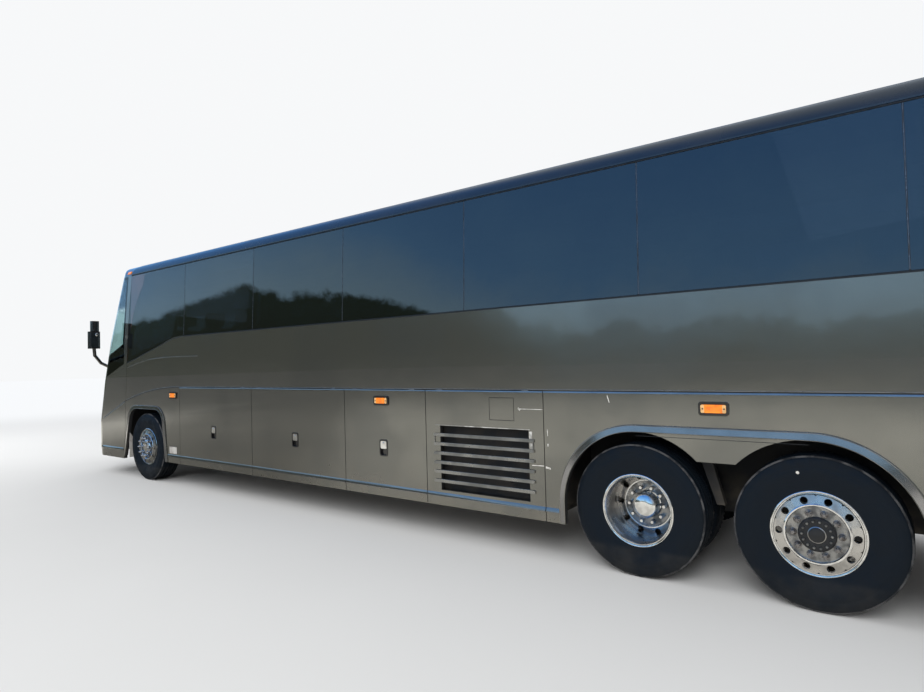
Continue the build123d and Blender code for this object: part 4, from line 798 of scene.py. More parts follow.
# The cone that the hand holes go through: its width out and in from their circle, slope and lift
CONE_OUT = 0.0325
CONE_IN = 0.027
CONE_SLOPE = 0.2
CONE_LIFT = 0.0012
LIP_Y = WHEEL_Y + 0.125
FACE_Y = WHEEL_Y + 0.134
DEEP_Y = WHEEL_Y - 0.146
HUB_Y = WHEEL_Y - 0.136
# Pale fleck on the left tag tyre: distance in front of the axle, out from the middle plane, and height
FLECK = (0.1, 0.15, 0.93)


def tyre_shape(segments=160):
    """Tyre with ribs and notched shoulders, centred on the axle line."""
    half = len(TYRE_SECTION)
    section = TYRE_SECTION + [(radius, -y) for radius, y in reversed(TYRE_SECTION)]
    wave = {}
    for i in TREAD_RINGS:
        wave[i] = TREAD_WAVE
        wave[2 * half - 1 - i] = TREAD_WAVE
    return lathe(section, segments, wave)


AXIS_R = 0.0005


def turned_up(y, *profile, segments=48):
    """Ring or disc turned from (radius, height over y) points, closed along the axis."""
    outline = [(radius, y + height) for radius, height in profile]
    return lathe([(AXIS_R, y)] + outline + [(AXIS_R, outline[-1][1])], segments)


def rim_rings():
    """The bright rolled edge of the rim and the step inside it."""
    outer = lathe([(0.2868, LIP_Y - 0.002), (0.2868, LIP_Y + 0.0035), (0.283, LIP_Y + 0.0055),
                   (0.277, LIP_Y + 0.004), (0.2745, LIP_Y + 0.0005), (0.2745, LIP_Y - 0.002)], 96)
    inner = lathe([(0.2705, LIP_Y - 0.008), (0.2705, LIP_Y + 0.0025), (0.2665, LIP_Y + 0.003),
                   (0.262, LIP_Y - 0.004), (0.262, LIP_Y - 0.012)], 96)
    return merge(outer, inner)


def holed_ring(y):
    """Slightly conical ring between the rim's step and the raised ring, with its ten hand holes."""
    points, faces = [], []
    for k in range(HOLES):
        middle = 2 * math.pi * k / HOLES
        first = len(points)
        for i in range(HOLE_STEPS):
            turn = 2 * math.pi * i / HOLE_STEPS
            u, v = math.cos(turn), math.sin(turn)
            width = CONE_OUT if v > 0 else CONE_IN
            reach = min(HOLE_PITCH / 2 / max(abs(u), TINY), width / max(abs(v), TINY))
            for size in (HOLE_R, reach):
                angle, radius = middle + u * size / HOLE_RING, HOLE_RING + v * size
                height = y + CONE_LIFT + CONE_SLOPE * (HOLE_RING + CONE_OUT - radius)
                points.append((radius * math.cos(angle), height, radius * math.sin(angle)))
        for i in range(HOLE_STEPS):
            a, b = first + 2 * i, first + 2 * ((i + 1) % HOLE_STEPS)
            faces.append((a, b, b + 1, a + 1))
    return points, faces


def raised_ring(y):
    """Soft raised ring pressed in a disc, outside the nuts."""
    return lathe([(0.184, y - 0.006), (0.185, y + 0.01), (0.19, y + 0.016), (0.198, y + 0.0165),
                  (0.204, y + 0.012), (0.206, y - 0.006)], 72)


def make_wheels():
    """Tyres, rims, nuts and hub covers of all six wheels."""
    tyre = tyre_shape()
    wear = lathe([(0.5115, 0.1347), (0.5222, 0.1246), (0.5205, 0.1228), (0.5098, 0.1329)], 96)
    hexagon = turned_up(0, (0.0165, 0), (0.0165, 0.034), (0.0125, 0.038), segments=6)
    washer = turned_up(0, (0.024, 0), (0.024, 0.004), (0.021, 0.006), segments=20)
    cover = turned_up(
        0, (0.0225, 0), (0.0225, 0.03), (0.0205, 0.052), (0.0135, 0.076), (0.006, 0.087), segments=14,
    )
    long_nut = turned_up(0, (0.018, 0), (0.018, 0.062), (0.013, 0.07), segments=6)
    bolt = turned_up(0, (0.0095, 0), (0.0095, 0.009), (0.007, 0.012), segments=6)
    disc_face = lathe([(0.1, 0.0), (0.1, 0.0009), (0.203, 0.0009), (0.203, 0.0)], 72)
    for word, side in SIDES:
        for place, x in AXLES.items():
            body = f"wheel_{place}_{word}"
            spot = {"x": x, "z": TYRE_R}
            planes = (WHEEL_Y, WHEEL_Y - DUAL) if place == "drive" else (WHEEL_Y,)
            tyres = merge(*[moved(tyre, y=y, **spot) for y in planes])
            if body == "wheel_tag_left":
                fleck = turned_up(0, (0.012, 0), (0.007, 0.0012), segments=7)
                fleck = moved(fleck, x + FLECK[0], WHEEL_Y + FLECK[1], FLECK[2])
                make("tyre_fleck", fleck, bare_paint, body)
            make(f"tyre_detail_{place}_{word}", sided(tyres, side), rubber, body,
                 replaces=[f"tyre_{place}_{word}"])
            make(f"tyre_wear_{place}_{word}", sided(moved(wear, y=WHEEL_Y, **spot), side), worn_rubber, body)
            deep = DEEP_Y if place == "drive" else FACE_Y
            bright = [rim_rings(), raised_ring(deep)]
            if place == "drive":
                bright.append(moved(ring_of(long_nut, NUTS, NUT_RING), y=DEEP_Y - 0.004))
                bright.append(turned_up(HUB_Y, (0.11, 0), (0.1, 0.015), (0.0995, 0.09), (0.094, 0.114),
                                        (0.075, 0.126), (0.04, 0.131), (0.012, 0.132), segments=64))
            if place == "front":
                bright.append(moved(ring_of(cover, NUTS, NUT_RING), y=FACE_Y))
                bright.append(turned_up(FACE_Y, (0.116, 0), (0.114, 0.012), (0.104, 0.02), (0.086, 0.024),
                                        (0.079, 0.034), (0.06, 0.0395), (0.012, 0.0405)))
            disc = sided(moved(disc_face, y=deep, **spot), side)
            make(f"wheel_disc_{place}_{word}", disc, disc_metal, body)
            make(f"wheel_ring_{place}_{word}", sided(moved(holed_ring(deep), **spot), side), chrome, body)
            if place == "tag":
                nuts = ring_of(merge(washer, hexagon), NUTS, NUT_RING)
                make(f"hub_nuts_{word}", sided(moved(nuts, y=FACE_Y, **spot), side), dull_steel, body)
                flange = turned_up(FACE_Y, (0.116, 0), (0.114, 0.014), (0.105, 0.02), (0.05, 0.022))
                cap = turned_up(FACE_Y + 0.018, (0.056, 0), (0.046, 0.018), (0.03, 0.023), segments=36)
                make(f"hub_flange_{word}", sided(moved(merge(flange, cap), **spot), side), seal_black, body)
                bolts = moved(ring_of(bolt, FLANGE_BOLTS, FLANGE_BOLT_RING), y=FACE_Y + 0.02)
                make(f"hub_bolts_{word}", sided(moved(bolts, **spot), side), disc_metal, body)
            bright = moved(merge(*bright), **spot)
            make(f"wheel_bright_{place}_{word}", sided(bright, side), bright_chrome, body)


MARKER_SPOTS = [
    # middle in x, body on each side
    (4.01, "coach"),
    (-0.315, "luggage_door_{}_rear"),
    (-3.68, "coach"),
]
MARKER_HALF = (0.1, 0.045)
MARKER_Z = 1.35
MARKER_STAND = 0.01
MARKER_LENS_HALF = 0.062
MARKER_RIB_PITCH = 0.008
MARKER_END_X = 0.075
MARKER_END_HALF = 0.012


def make_markers():
    """Side marker lamps: a thick black surround, the ribbed amber lens, pale ends and dark screws."""
    half_x, half_z = MARKER_HALF
    face = SKIN_Y + MARKER_STAND
    z0, z1 = MARKER_Z - half_z, MARKER_Z + half_z
    screw = turned_up(0, (0.0065, 0), (0.005, 0.003), segments=10)
    for index, (x, carrier) in enumerate(MARKER_SPOTS):
        outer = rounded((x - half_x - 0.006, z0 - 0.006), (x + half_x + 0.006, z1 + 0.006), 0.022)
        middle = rounded((x - half_x + 0.012, z0 + 0.014), (x + half_x - 0.012, z1 - 0.014), 0.012)
        surround = frame_ring(outer, middle, SKIN_Y - 0.001, face + 0.004)
        lens = rounded((x - MARKER_LENS_HALF, z0 + 0.016), (x + MARKER_LENS_HALF, z1 - 0.016), 0.01)
        lens = prism(lens, face - 0.002, face + 0.008)
        ribs = []
        for row in range(-2, 3):
            z = MARKER_Z + MARKER_RIB_PITCH * row
            ribs.append(block((x - 0.06, face + 0.006, z - 0.0015), (x + 0.06, face + 0.0095, z + 0.0015)))
        ends, screws = [], []
        for s in (-1, 1):
            spot = x + s * MARKER_END_X
            end = rounded((spot - MARKER_END_HALF, z0 + 0.017), (spot + MARKER_END_HALF, z1 - 0.017), 0.006)
            ends.append(prism(end, face - 0.002, face + 0.006))
            screws.append(moved(screw, spot, face + 0.006, MARKER_Z))
        for word, side in SIDES:
            body, tag = carrier.format(word), f"{index}_{word}"
            make(
                f"marker_surround_{tag}", sided(surround, side), gloss_black, body,
                bevel=0.0015,
            )
            make(
                f"marker_lens_{tag}", sided(merge(lens, *ribs), side), amber, body, bevel=0.001,
            )
            make(f"marker_ends_{tag}", sided(merge(*ends), side), pale_amber, body, bevel=0.001)
            make(f"marker_screws_{tag}", sided(merge(*screws), side), dark_line, body)


GRILLES = {
    # rear, front, bottom, top, bars
    "condenser": (-2.116, -1.112, 0.49, 1.12, 6),
    "radiator": (-6.29, -5.29, 0.56, 1.33, 9),
}
# Slats: how far they pass the grille at its rear and front, half their height, and the posts over the last
SLAT_REAR = 0.05
SLAT_FRONT = 0.075
SLAT_HALF = 0.0105
SLAT_REAR_POST = 0.009
SLAT_FRONT_POST = 0.011
HANDLE_Z = 0.85
HANDLE_HALF = (0.06, 0.09)
HANDLE_RIM = 0.013
HANDLE_BACK = 0.006
PADDLE_HALF = 0.041
MOULDING = [(-0.002, 0.47), (0.0115, 0.432), (0.0115, 0.426), (-0.002, 0.42)]
TOP_EDGE = [(-0.002, 1.4668), (0.0004, 1.4668), (0.0035, 1.455), (0.0035, 1.452), (-0.002, 1.4485)]


def on_skin(profile):
    """A profile of (distance outwards, z) points, laid on the side's lower surface."""
    return [(SKIN_Y + d, z) for d, z in profile]


def handle_shapes(x):
    """Recessed handle at a place along a flap: black pocket and surround, and bright paddle with its lock."""
    z = HANDLE_Z
    half_x, half_z = HANDLE_HALF
    rim_x, rim_z = half_x - HANDLE_RIM, half_z - HANDLE_RIM
    outer = rounded((x - half_x, z - half_z), (x + half_x, z + half_z), 0.03, 6)
    inner = rounded((x - rim_x, z - rim_z), (x + rim_x, z + rim_z), 0.02, 6)
    surround = frame_ring(outer, inner, SKIN_Y - 0.02, SKIN_Y + 0.004)
    back_x, back_z = half_x - HANDLE_BACK, half_z - HANDLE_BACK
    pocket = block((x - back_x, SKIN_Y - 0.0215, z - back_z), (x + back_x, SKIN_Y - 0.019, z + back_z))
    paddle = rounded((x - PADDLE_HALF, z - 0.008), (x + PADDLE_HALF, z + 0.069), 0.014, 6)
    paddle = prism(paddle, SKIN_Y - 0.006, SKIN_Y + 0.003)
    lock = turned_up(0, (0.011, 0), (0.011, 0.003), (0.008, 0.005), segments=20)
    lock = moved(lock, x, SKIN_Y + 0.003, z + 0.048)
    return merge(surround, pocket), merge(paddle, lock)


def make_flap_details():
    """Handles, slats, mouldings and bright edges on the flaps, each riding on its own flap."""
    for name in FLAPS:
        low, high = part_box(name)
        side = 1 if high.y > 0 else -1
        x0, x1 = low.x + 0.0005, high.x - 0.0005
        edge = merge(along_x(on_skin(TOP_EDGE), x0, x1), along_x(on_skin(MOULDING), x0, x1))
        make(f"edges_{name}", sided(edge, side), edge_paint, name)
        kind = name.split("_")[0]
        if kind not in GRILLES:
            black, bright = handle_shapes((low.x + high.x) / 2)
            make(f"handle_pocket_{name}", sided(black, side), gloss_black, name, bevel=0.002)
            make(f"handle_paddle_{name}", sided(bright, side), bright_chrome, name, bevel=0.003)
            continue
        gx0, gx1, gz0, gz1, bars = GRILLES[kind]
        pitch = (gz1 - gz0) / (bars + 1)
        ends = (gx0 - SLAT_REAR, gx1 + SLAT_FRONT)
        slats = []
        for i in range(bars):
            z = gz0 + pitch * (i + 1)
            outline = rounded((ends[0], z - SLAT_HALF), (ends[1], z + SLAT_HALF), 0.0095)
            slats.append(prism(outline, SKIN_Y - 0.002, SKIN_Y + 0.012))
            if i + 2 == bars:
                posts = ((ends[0], ends[0] + SLAT_REAR_POST), (ends[1] - SLAT_FRONT_POST, ends[1]))
                for rear, front in posts:
                    slats.append(block((rear, SKIN_Y - 0.001, z), (front, SKIN_Y + 0.009, z + pitch)))
        make(f"slats_{name}", sided(merge(*slats), side), slat_paint, name, bevel=0.004)
        rim = [
            block((gx0 - 0.01, SKIN_Y - 0.002, gz1), (gx1 + 0.06, SKIN_Y + 0.003, gz1 + 0.007)),
            block((gx0 - 0.034, SKIN_Y - 0.001, gz1 - 0.075), (gx0 - 0.004, SKIN_Y + 0.0012, gz1 - 0.012)),
            block((gx0 - 0.036, SKIN_Y - 0.001, gz1 - 0.165), (gx0 - 0.006, SKIN_Y + 0.0012, gz1 - 0.115)),
        ]
        make(f"grille_rim_{name}", sided(merge(*rim), side), scuffed_paint, name, bevel=0.001)


BELT_REAR_X = -6.38
BELT_FRONT_X = 3.69
PANE_PITCH = 1.71
DIVIDERS = [BELT_FRONT_X - PANE_PITCH * i for i in range(6)]
PANE_Z = (2.236, 3.294)
WALL_REAR_X = -6.44
GUTTER_FRONT_X = 5.35
# Painted highlight along the roof's top edge: its distance from the middle and its height
ROOF_EDGE_HIGHLIGHT = (1.105, 3.4635)
# Falling stretch of the belt line, as (x, z)
BELT_SWEEP = [(BELT_FRONT_X, 2.2245), (4.0, 2.2), (4.3, 2.131), (4.9, 1.99), (5.46, 1.861)]
FIXED_SPANS = [(3.834, 4.19), (-2.402, -2.274), (-5.127, -4.958)]
# Painted highlight along the crease under the first pane, as (x, z)
CREASE_HIGHLIGHT = [
    (5.451, 1.79), (5.1, 1.852), (4.752, 1.904), (4.5, 1.918), (4.226, 1.927), (3.8, 1.926), (3.315, 1.922),
]
# Line between the upper and lower panels: level, then falling over the front arch through three places
SPLIT_Z = 1.4795
SPLIT = [(3.83, 1.475), (4.7, 1.414), (5.56, 1.236)]
# Top edge of the bumper: falling from the side panel's seam, then level round the nose
SEAM_REAR = SPLIT[-1]
SEAM_FRONT = (6.565, 0.865)
SEAM_START = {"left": 5.57, "right": 6.34}
SEAM_STEPS = (8, 12)
NOSE_HALF = 1.25
NOSE_TIP_X = 6.907
NOSE_REAR_X = 5.64
BUMPER_MOULDING_Z = 0.446
DOOR_FRONT_X = 6.345
BUMPER_MOULDING = [(-0.002, 0.024), (0.0115, -0.014), (0.0115, -0.02), (-0.002, -0.026)]
# Brown band behind the front of the first pane: foot, head and its curved rear edge, as (x, z)
PILLAR_BAND = [
    (5.482, 1.9), (5.372, 3.285), (4.93, 3.285), (4.972, 3.105), (5.1, 2.95), (5.2, 2.8), (5.29, 2.62),
    (5.345, 2.42), (5.41, 2.1),
]


def split_z(x):
    """Height of the line over the front arch, through three known places."""
    total = 0.0
    for i, (xi, zi) in enumerate(SPLIT):
        term = zi
        for j, (xj, _) in enumerate(SPLIT):
            if i != j:
                term *= (x - xj) / (xi - xj)
        total += term
    return total


def bumper_line(side, start, radius, lift=0.0):
    """Places along the bumper's top edge for a bar of a radius, from the seam or the door to the middle."""
    (x0, z0), (x1, z1) = SEAM_REAR, SEAM_FRONT
    falling, level = SEAM_STEPS
    path = []
    for i in range(falling + 1):
        x = start + (x1 - start) * i / falling
        z = z0 - (x - x0) * (z0 - z1) / (x1 - x0) + lift
        path.append((x, side * (front_side_y(x, z) - radius / 2), z))
    for i in range(1, level + 1):
        y = NOSE_HALF * (1 - i / level)
        path.append((end_x(y, z1, 1) - radius - 0.0003, side * y, z1 + lift))
    return path


def make_body_lines():
    """Belt and gutter lines, painted highlight lines, mouldings on the fixed panels, window seals and the
    bumper's edge.
    """
    shift = SKIN_Y - 0.0025
    for word, side in SIDES:
        low = (BELT_REAR_X, SKIN_Y - 0.004, BELT_Z - 0.012)
        high = (BELT_FRONT_X, SKIN_Y + 0.002, BELT_Z + 0.001)
        belt = block(low, high)
        sweep = [(x, shift, z) for x, z in BELT_SWEEP]
        make(f"belt_line_{word}", sided(merge(belt, tube(sweep, 0.0055)), side), dark_line, bevel=0.0015)
        low = (WALL_REAR_X, GUTTER_Y - 0.004, GUTTER_Z - 0.006)
        high = (GUTTER_FRONT_X, GUTTER_Y + 0.008, GUTTER_Z + 0.003)
        make(f"gutter_line_{word}", sided(block(low, high), side), dark_line, bevel=0.002)
        # Thin strip along the roof's top edge, a painted highlight
        roof_highlight = [(x, *ROOF_EDGE_HIGHLIGHT) for x in (WALL_REAR_X, -3.0, 0.0, 3.0, GUTTER_FRONT_X - 0.01)]
        make(f"roof_edge_highlight_{word}", sided(tube(roof_highlight, 0.006), side), painted_highlight_trim)
        spans = [along_x(on_skin(MOULDING), x0, x1) for x0, x1 in FIXED_SPANS]
        spans += [along_x(on_skin(TOP_EDGE), FIXED_SPANS[2][0], FIXED_SPANS[1][1])]
        make(f"fixed_mouldings_{word}", sided(merge(*spans), side), edge_paint)
        # Painted highlights: a thin ridge along the crease, and a pale line just under the panel line
        crease_highlight = tube([(x, shift, z) for x, z in CREASE_HIGHLIGHT], 0.0038, 8)
        upper = [(x, shift, SPLIT_Z) for x in (WALL_REAR_X, -3.0, 0.0, SPLIT[0][0])]
        upper += [(x, shift, split_z(x) + 0.0055) for x in (4.1, 4.4, 4.7, 5.0, 5.3, 5.51)]
        make(f"upper_highlights_{word}", sided(merge(crease_highlight, tube(upper, 0.0042, 8)), side), highlight_paint)
        # Dark seal at each window divider, with a thin pale line down it, a painted highlight
        seals, lights = [], []
        for x in DIVIDERS:
            z0, z1 = PANE_Z
            seals.append(on_side(block((x - 0.0048, -0.006, z0), (x + 0.0048, -0.0006, z1))))
            lights.append(on_side(block((x - 0.0012, -0.003, z0 + 0.004), (x + 0.0012, 0.0004, z1 - 0.004))))
        make(f"window_seals_{word}", sided(merge(*seals), side), seal_black)
        make(f"window_divider_highlights_{word}", sided(merge(*lights), side), painted_highlight_trim)
        start = SEAM_START[word]
        # Dark line along the bumper's seam, and a painted highlight along the ledge under it
        make(f"bumper_seam_{word}", tube(bumper_line(side, start, 0.0042), 0.0042, 8), dark_line)
        make(f"bumper_ledge_highlight_{word}", tube(bumper_line(side, start, 0.0065, -0.011), 0.0065, 8), highlight_paint)
        band = on_side(prism(PILLAR_BAND, -0.003, 0.0006))
        make(f"pillar_band_{word}", sided(band, side), pillar_brown)
    _, bow, corner_radius = END_FORMS[1]
    nose = nose_path(NOSE_TIP_X, corner_radius, bow, BUMPER_MOULDING_Z, NOSE_REAR_X)
    beside_door = (DOOR_FRONT_X, *nose[-1][1:])
    make("bumper_moulding", swept(nose[:-1] + [beside_door], BUMPER_MOULDING), edge_paint)


ARCH_CENTRES = (-3.085, -4.275)
ARCH_Z = 0.525
ARCH_R = 0.63
LIP = 0.05
LIP_DROP = 0.0065
# How far the arch bands stand out from the side, at their inner and outer faces
BAND_STAND = (0.0095, 0.0165)
ARC_STEPS = 18
CORNER_STEPS = 10
FRONT_ARCH = [(5.66, 0.0), (5.35, 1.125), (4.35, 1.125), (4.205, 0.0)]
FRONT_ARCH_R = 0.23
# The front band stops short of the pillar's seam, which leans back with height
PILLAR_SEAM = (5.629, 0.08)
SKIRT_Z = 0.345
GUSSET_LINES = ((1.151, 0.0105), (1.122, 0.0006))
# Splash flap behind the front bumper, as (y, z), and its place along the coach
SPLASH_FLAP = [(1.27, 0.72), (1.2, 0.6), (1.2, 0.32), (1.283, 0.32), (1.283, 0.6)]
SPLASH_X = (5.452, 5.458)


def rear_path(grow):
    """Path over both rear wheels, from the front foot to the rear foot."""
    radius = ARCH_R + grow
    path = [(ARCH_CENTRES[0] + radius, SKIRT_Z)]
    for centre, first in zip(ARCH_CENTRES, (0, 90)):
        for i in range(ARC_STEPS + 1):
            angle = math.radians(first + 90 * i / ARC_STEPS)
            path.append((centre + radius * math.cos(angle), ARCH_Z + radius * math.sin(angle)))
    return path + [(ARCH_CENTRES[1] - radius, SKIRT_Z)]


def front_path(grow):
    """Path over the front wheel, from the front foot to the rear foot, its two corners rounded."""
    top = FRONT_ARCH[1][1] + grow
    corners = []
    for i, (x, z) in enumerate(FRONT_ARCH):
        corners.append(Vector((x + (grow if i < 2 else -grow), top if z else 0.0)))
    path = []
    for here, foot, other in ((corners[1], corners[0], corners[2]), (corners[2], corners[3], corners[1])):
        down, along = (foot - here).normalized(), (other - here).normalized()
        half = down.angle(along) / 2
        centre = here + (down + along).normalized() * (FRONT_ARCH_R + grow) / math.sin(half)
        reach = (FRONT_ARCH_R + grow) / math.tan(half)
        first, last = here + down * reach - centre, here + along * reach - centre
        arc = []
        for i in range(CORNER_STEPS + 1):
            outward = first.lerp(last, i / CORNER_STEPS).normalized()
            arc.append(centre + outward * (FRONT_ARCH_R + grow))
        foot_here = foot + (here - foot) * SKIRT_Z / top
        path += [foot_here] + arc if here == corners[1] else list(reversed(arc)) + [foot_here]
    seam_x, lean = PILLAR_SEAM
    return [(min(p.x, seam_x - lean * p.y), p.y) for p in path]


def make_arches():
    """Bands round the wheel arches with painted highlights along their edges, and the pale splash flap in the
    front arch.
    """
    y0, y1 = (SKIN_Y + stand for stand in BAND_STAND)
    for word, side in SIDES:
        for place, shape_of in (("rear", rear_path), ("front", front_path)):
            band = strip(shape_of(0.001), shape_of(LIP - 0.001), y0, y1, LIP_DROP)
            make(f"arch_band_{place}_{word}", sided(band, side), edge_paint, bevel=0.001)
            # Painted highlights along each band's outer and inner edges
            outer = tube([(x, SKIN_Y + 0.0085, z) for x, z in shape_of(LIP)], 0.0048, 8)
            inner = tube([(x, SKIN_Y + 0.0125, z) for x, z in shape_of(0.0015)], 0.0045, 8)
            make(f"arch_edge_highlights_{place}_{word}", sided(merge(outer, inner), side), highlight_paint)
        lines = [
            block((ARCH_CENTRES[1], SKIN_Y - 0.001, z), (ARCH_CENTRES[0], SKIN_Y + reach, z + 0.004))
            for z, reach in GUSSET_LINES
        ]
        make(f"gusset_lines_{word}", sided(merge(*lines), side), dark_line)
        flap = along_x(SPLASH_FLAP, *SPLASH_X)
        make(f"splash_flap_{word}", sided(flap, side), pale_plastic, bevel=0.002)


# Scratches down to pale primer
SCRATCHES = {
    # carrier: (x, z) of one end, (x, z) of the other, width
    "condenser_door": [
        (-2.03, 1.305, -2.262, 1.307, 0.007), (-2.012, 1.312, -2.034, 1.296, 0.02),
        (-2.143, 0.813, -2.262, 0.818, 0.008),
    ],
    "coach": [
        (-2.278, 0.806, -2.325, 0.8, 0.02), (-2.304, 1.134, -2.307, 1.08, 0.007),
        (-2.303, 1.01, -2.31, 0.99, 0.018), (-2.86, 1.438, -2.879, 1.378, 0.008),
    ],
}
# Small pale lid behind the left front wheel: rear, front, bottom, top
SMALL_LID = (3.926, 4.13, 0.482, 0.58)


def mark(x0, z0, x1, z1, width):
    """Thin scratch on the side, from one place to another."""
    along = Vector((x1 - x0, z1 - z0)).normalized()
    across = Vector((-along.y, along.x)) * width / 2
    start, end = Vector((x0, z0)), Vector((x1, z1))
    outline = [start - across, start + across * 0.6, end + across, end - across * 0.4]
    return prism([tuple(p) for p in outline], SKIN_Y - 0.001, SKIN_Y + 0.0007)


def make_marks():
    """Scratches down to pale primer, and the small pale lid behind the left front wheel."""
    for name, carrier in (("scratches_flap", "condenser_door"), ("scratches_panel", "coach")):
        make(name, merge(*[mark(*places) for places in SCRATCHES[carrier]]), bare_paint, carrier)
    x0, x1, z0, z1 = SMALL_LID
    lid = prism(rounded((x0, z0), (x1, z1), 0.008), SKIN_Y - 0.001, SKIN_Y + 0.0035)
    make("small_lid", lid, pale_plastic, bevel=0.0015)
    shade = block((x0, SKIN_Y - 0.001, z1 + 0.001), (x1, SKIN_Y + 0.002, z1 + 0.01))
    make("small_lid_shade", shade, dark_line)


MIRROR_HEADS = ((6.075, 1.553), (6.49, -1.52))
# Glasses of a head: shift inwards, half width, bottom, top, corner radius, distance behind the middle
MIRROR_GLASSES = ((0.0, 0.068, 2.137, 2.388, 0.03, 0.0565), (0.014, 0.045, 2.412, 2.562, 0.024, 0.044))
MIRROR_GLASS_DEPTH = 0.0027
# Round wide-angle spot on the lower glass: shift inwards, and height
MIRROR_SPOT = (0.028, 2.35)


def make_mirrors():
    """Mirror glasses on the rearward faces of both heads."""
    for index, (x, y) in enumerate(MIRROR_HEADS):
        side = 1 if y > 0 else -1
        glasses = []
        for shift, half, z0, z1, radius, depth in MIRROR_GLASSES:
            middle = y - side * shift
            outline = rounded((middle - half, z0), (middle + half, z1), radius)
            glasses.append(along_x(outline, x - depth - MIRROR_GLASS_DEPTH, x - depth))
        make(f"mirror_glass_{index}", merge(*glasses), mirror_glass, bevel=0.001)
        spot = turned_up(0, (0.03, 0), (0.026, 0.004), (0.012, 0.007), segments=24)
        shift, z = MIRROR_SPOT
        back_x = x - MIRROR_GLASSES[0][-1] - MIRROR_GLASS_DEPTH
        make(f"mirror_spot_{index}", facing(spot, (back_x, y - side * shift, z), -1), bright_chrome)


# Sewn seams of a cushion: place from its middle to its side, width and depth, as shares of its half size
SEAM_SPOT = 0.62
SEAM_WIDTH = 0.09
SEAM_DEPTH = 0.1


def pillow(low, high, power=5.0, cells=8, seam=0.0):
    """Soft rounded block between two corners, crowned, with a sewn seam across where asked."""
    centre = [(a + b) / 2 for a, b in zip(low, high)]
    half = [(b - a) / 2 for a, b in zip(low, high)]
    points, faces, seen = [], [], {}

    def place(cell):
        if cell in seen:
            return seen[cell]
        p = [2 * c / cells - 1 for c in cell]
        size = sum(abs(c) ** power for c in p) ** (1 / power)
        p = [c / size for c in p]
        if seam:
            depth = 1 - seam * math.exp(-((abs(p[1]) - SEAM_SPOT) / SEAM_WIDTH) ** 2)
            p = [p[0] * depth, p[1], p[2] * depth]
        seen[cell] = len(points)
        points.append(tuple(m + h * c for m, h, c in zip(centre, half, p)))
        return seen[cell]

    for axis in range(3):
        u, v = [a for a in range(3) if a != axis]
        for end in (0, cells):
            for i in range(cells):
                for j in range(cells):
                    corner = []
                    for di, dj in ((0, 0), (1, 0), (1, 1), (0, 1)):
                        cell = [0, 0, 0]
                        cell[axis], cell[u], cell[v] = end, i + di, j + dj
                        corner.append(place(tuple(cell)))
                    out = (end > 0) == (axis != 1)
                    faces.append(tuple(corner) if out else tuple(reversed(corner)))
    return points, faces


BACK_LEAN = -math.radians(9.9)
ROWS = 14
FIRST_ROW_X = -6.25
ROW_PITCH = 0.8
# Middles of a bench's two seats, of its two legs and of its armrest, from the coach's middle
SEAT_MIDDLES = (0.482, 0.962)
SEAT_HALF = 0.222
LEG_MIDDLES = (0.4, 1.06)
ARMREST_Y = 0.722
BENCH_SPAN = (0.3, 1.15)
DRIVER_PLACE = (5.33, 0.64, PLATFORM_Z)


def leaned(shape, x, z, lean=BACK_LEAN):
    """A shape leaned back by an angle, then put at a place."""
    return turned(shape, Matrix.Translation((x, 0, z)) @ Matrix.Rotation(lean, 4, "Y"))


def make_seats():
    """Soft cushions, backs and headrests of the passenger seats and the driver's seat."""
    cushions, shells = [], []
    for i in range(ROWS):
        x, z = FIRST_ROW_X + ROW_PITCH * i, CABIN_FLOOR_Z
        for side in (1, -1):
            for middle in SEAT_MIDDLES:
                y = side * middle
                y0, y1 = y - SEAT_HALF, y + SEAT_HALF
                seat = pillow((x + 0.17, y0, z + 0.348), (x + 0.556, y1, z + 0.462), seam=SEAM_DEPTH)
                cushions.append(seat)
                back = pillow((-0.043, y0, -0.3), (0.043, y1, 0.22), seam=SEAM_DEPTH)
                cushions.append(leaned(back, x + 0.108, z + 0.68))
                rest = pillow((-0.04, y - 0.15, -0.085), (0.04, y + 0.15, 0.085), 4.0)
                cushions.append(leaned(rest, x + 0.044, z + 1.03))
            y0, y1 = sorted(side * y for y in BENCH_SPAN)
            shells.append(block((x + 0.15, y0, z), (x + 0.35, y1, z + 0.06)))
            shells.append(block((x + 0.14, y0, z + 0.3), (x + 0.5, y1, z + 0.35)))
            for leg in LEG_MIDDLES:
                y = side * leg
                shells.append(block((x + 0.2, y - 0.02, z + 0.05), (x + 0.3, y + 0.02, z + 0.31)))
            y = side * ARMREST_Y
            shells.append(block((x + 0.17, y - 0.016, z + 0.45), (x + 0.4, y + 0.016, z + 0.47)))
    soft = make("passenger_cushions", merge(*cushions), cloth, smooth=60,
                replaces=["passenger_seats"])
    make("seat_frames", merge(*shells), cabin_grey, bevel=0.006)
    x, y, z = DRIVER_PLACE
    seat = pillow((x - 0.25, y - 0.25, z + 0.305), (x + 0.255, y + 0.25, z + 0.42), seam=SEAM_DEPTH)
    back = pillow((-0.055, y - 0.235, -0.34), (0.055, y + 0.235, 0.2), seam=SEAM_DEPTH)
    rest = pillow((-0.045, y - 0.15, -0.07), (0.045, y + 0.15, 0.07), 4.0)
    driver = [seat, leaned(back, x - 0.24, z + 0.73), leaned(rest, x - 0.3, z + 1.05)]
    soft = make(
        "driver_cushions", merge(*driver), cloth, smooth=60, replaces=["driver_seat"],
    )
    pedestal = merge(block((x - 0.18, y - 0.2, z), (x + 0.18, y + 0.2, z + 0.2)),
                     block((x - 0.15, y - 0.17, z + 0.2), (x + 0.15, y + 0.17, z + 0.305)))
    make("driver_pedestal", pedestal, cabin_grey, bevel=0.01)


STEERING_PLACE = (5.93, 0.64, 1.76)
STEERING_TILT = math.radians(62)
STEERING_R = 0.225
GRIP_R = 0.0145
GRIP_POINTS = 12
SPOKES = 4


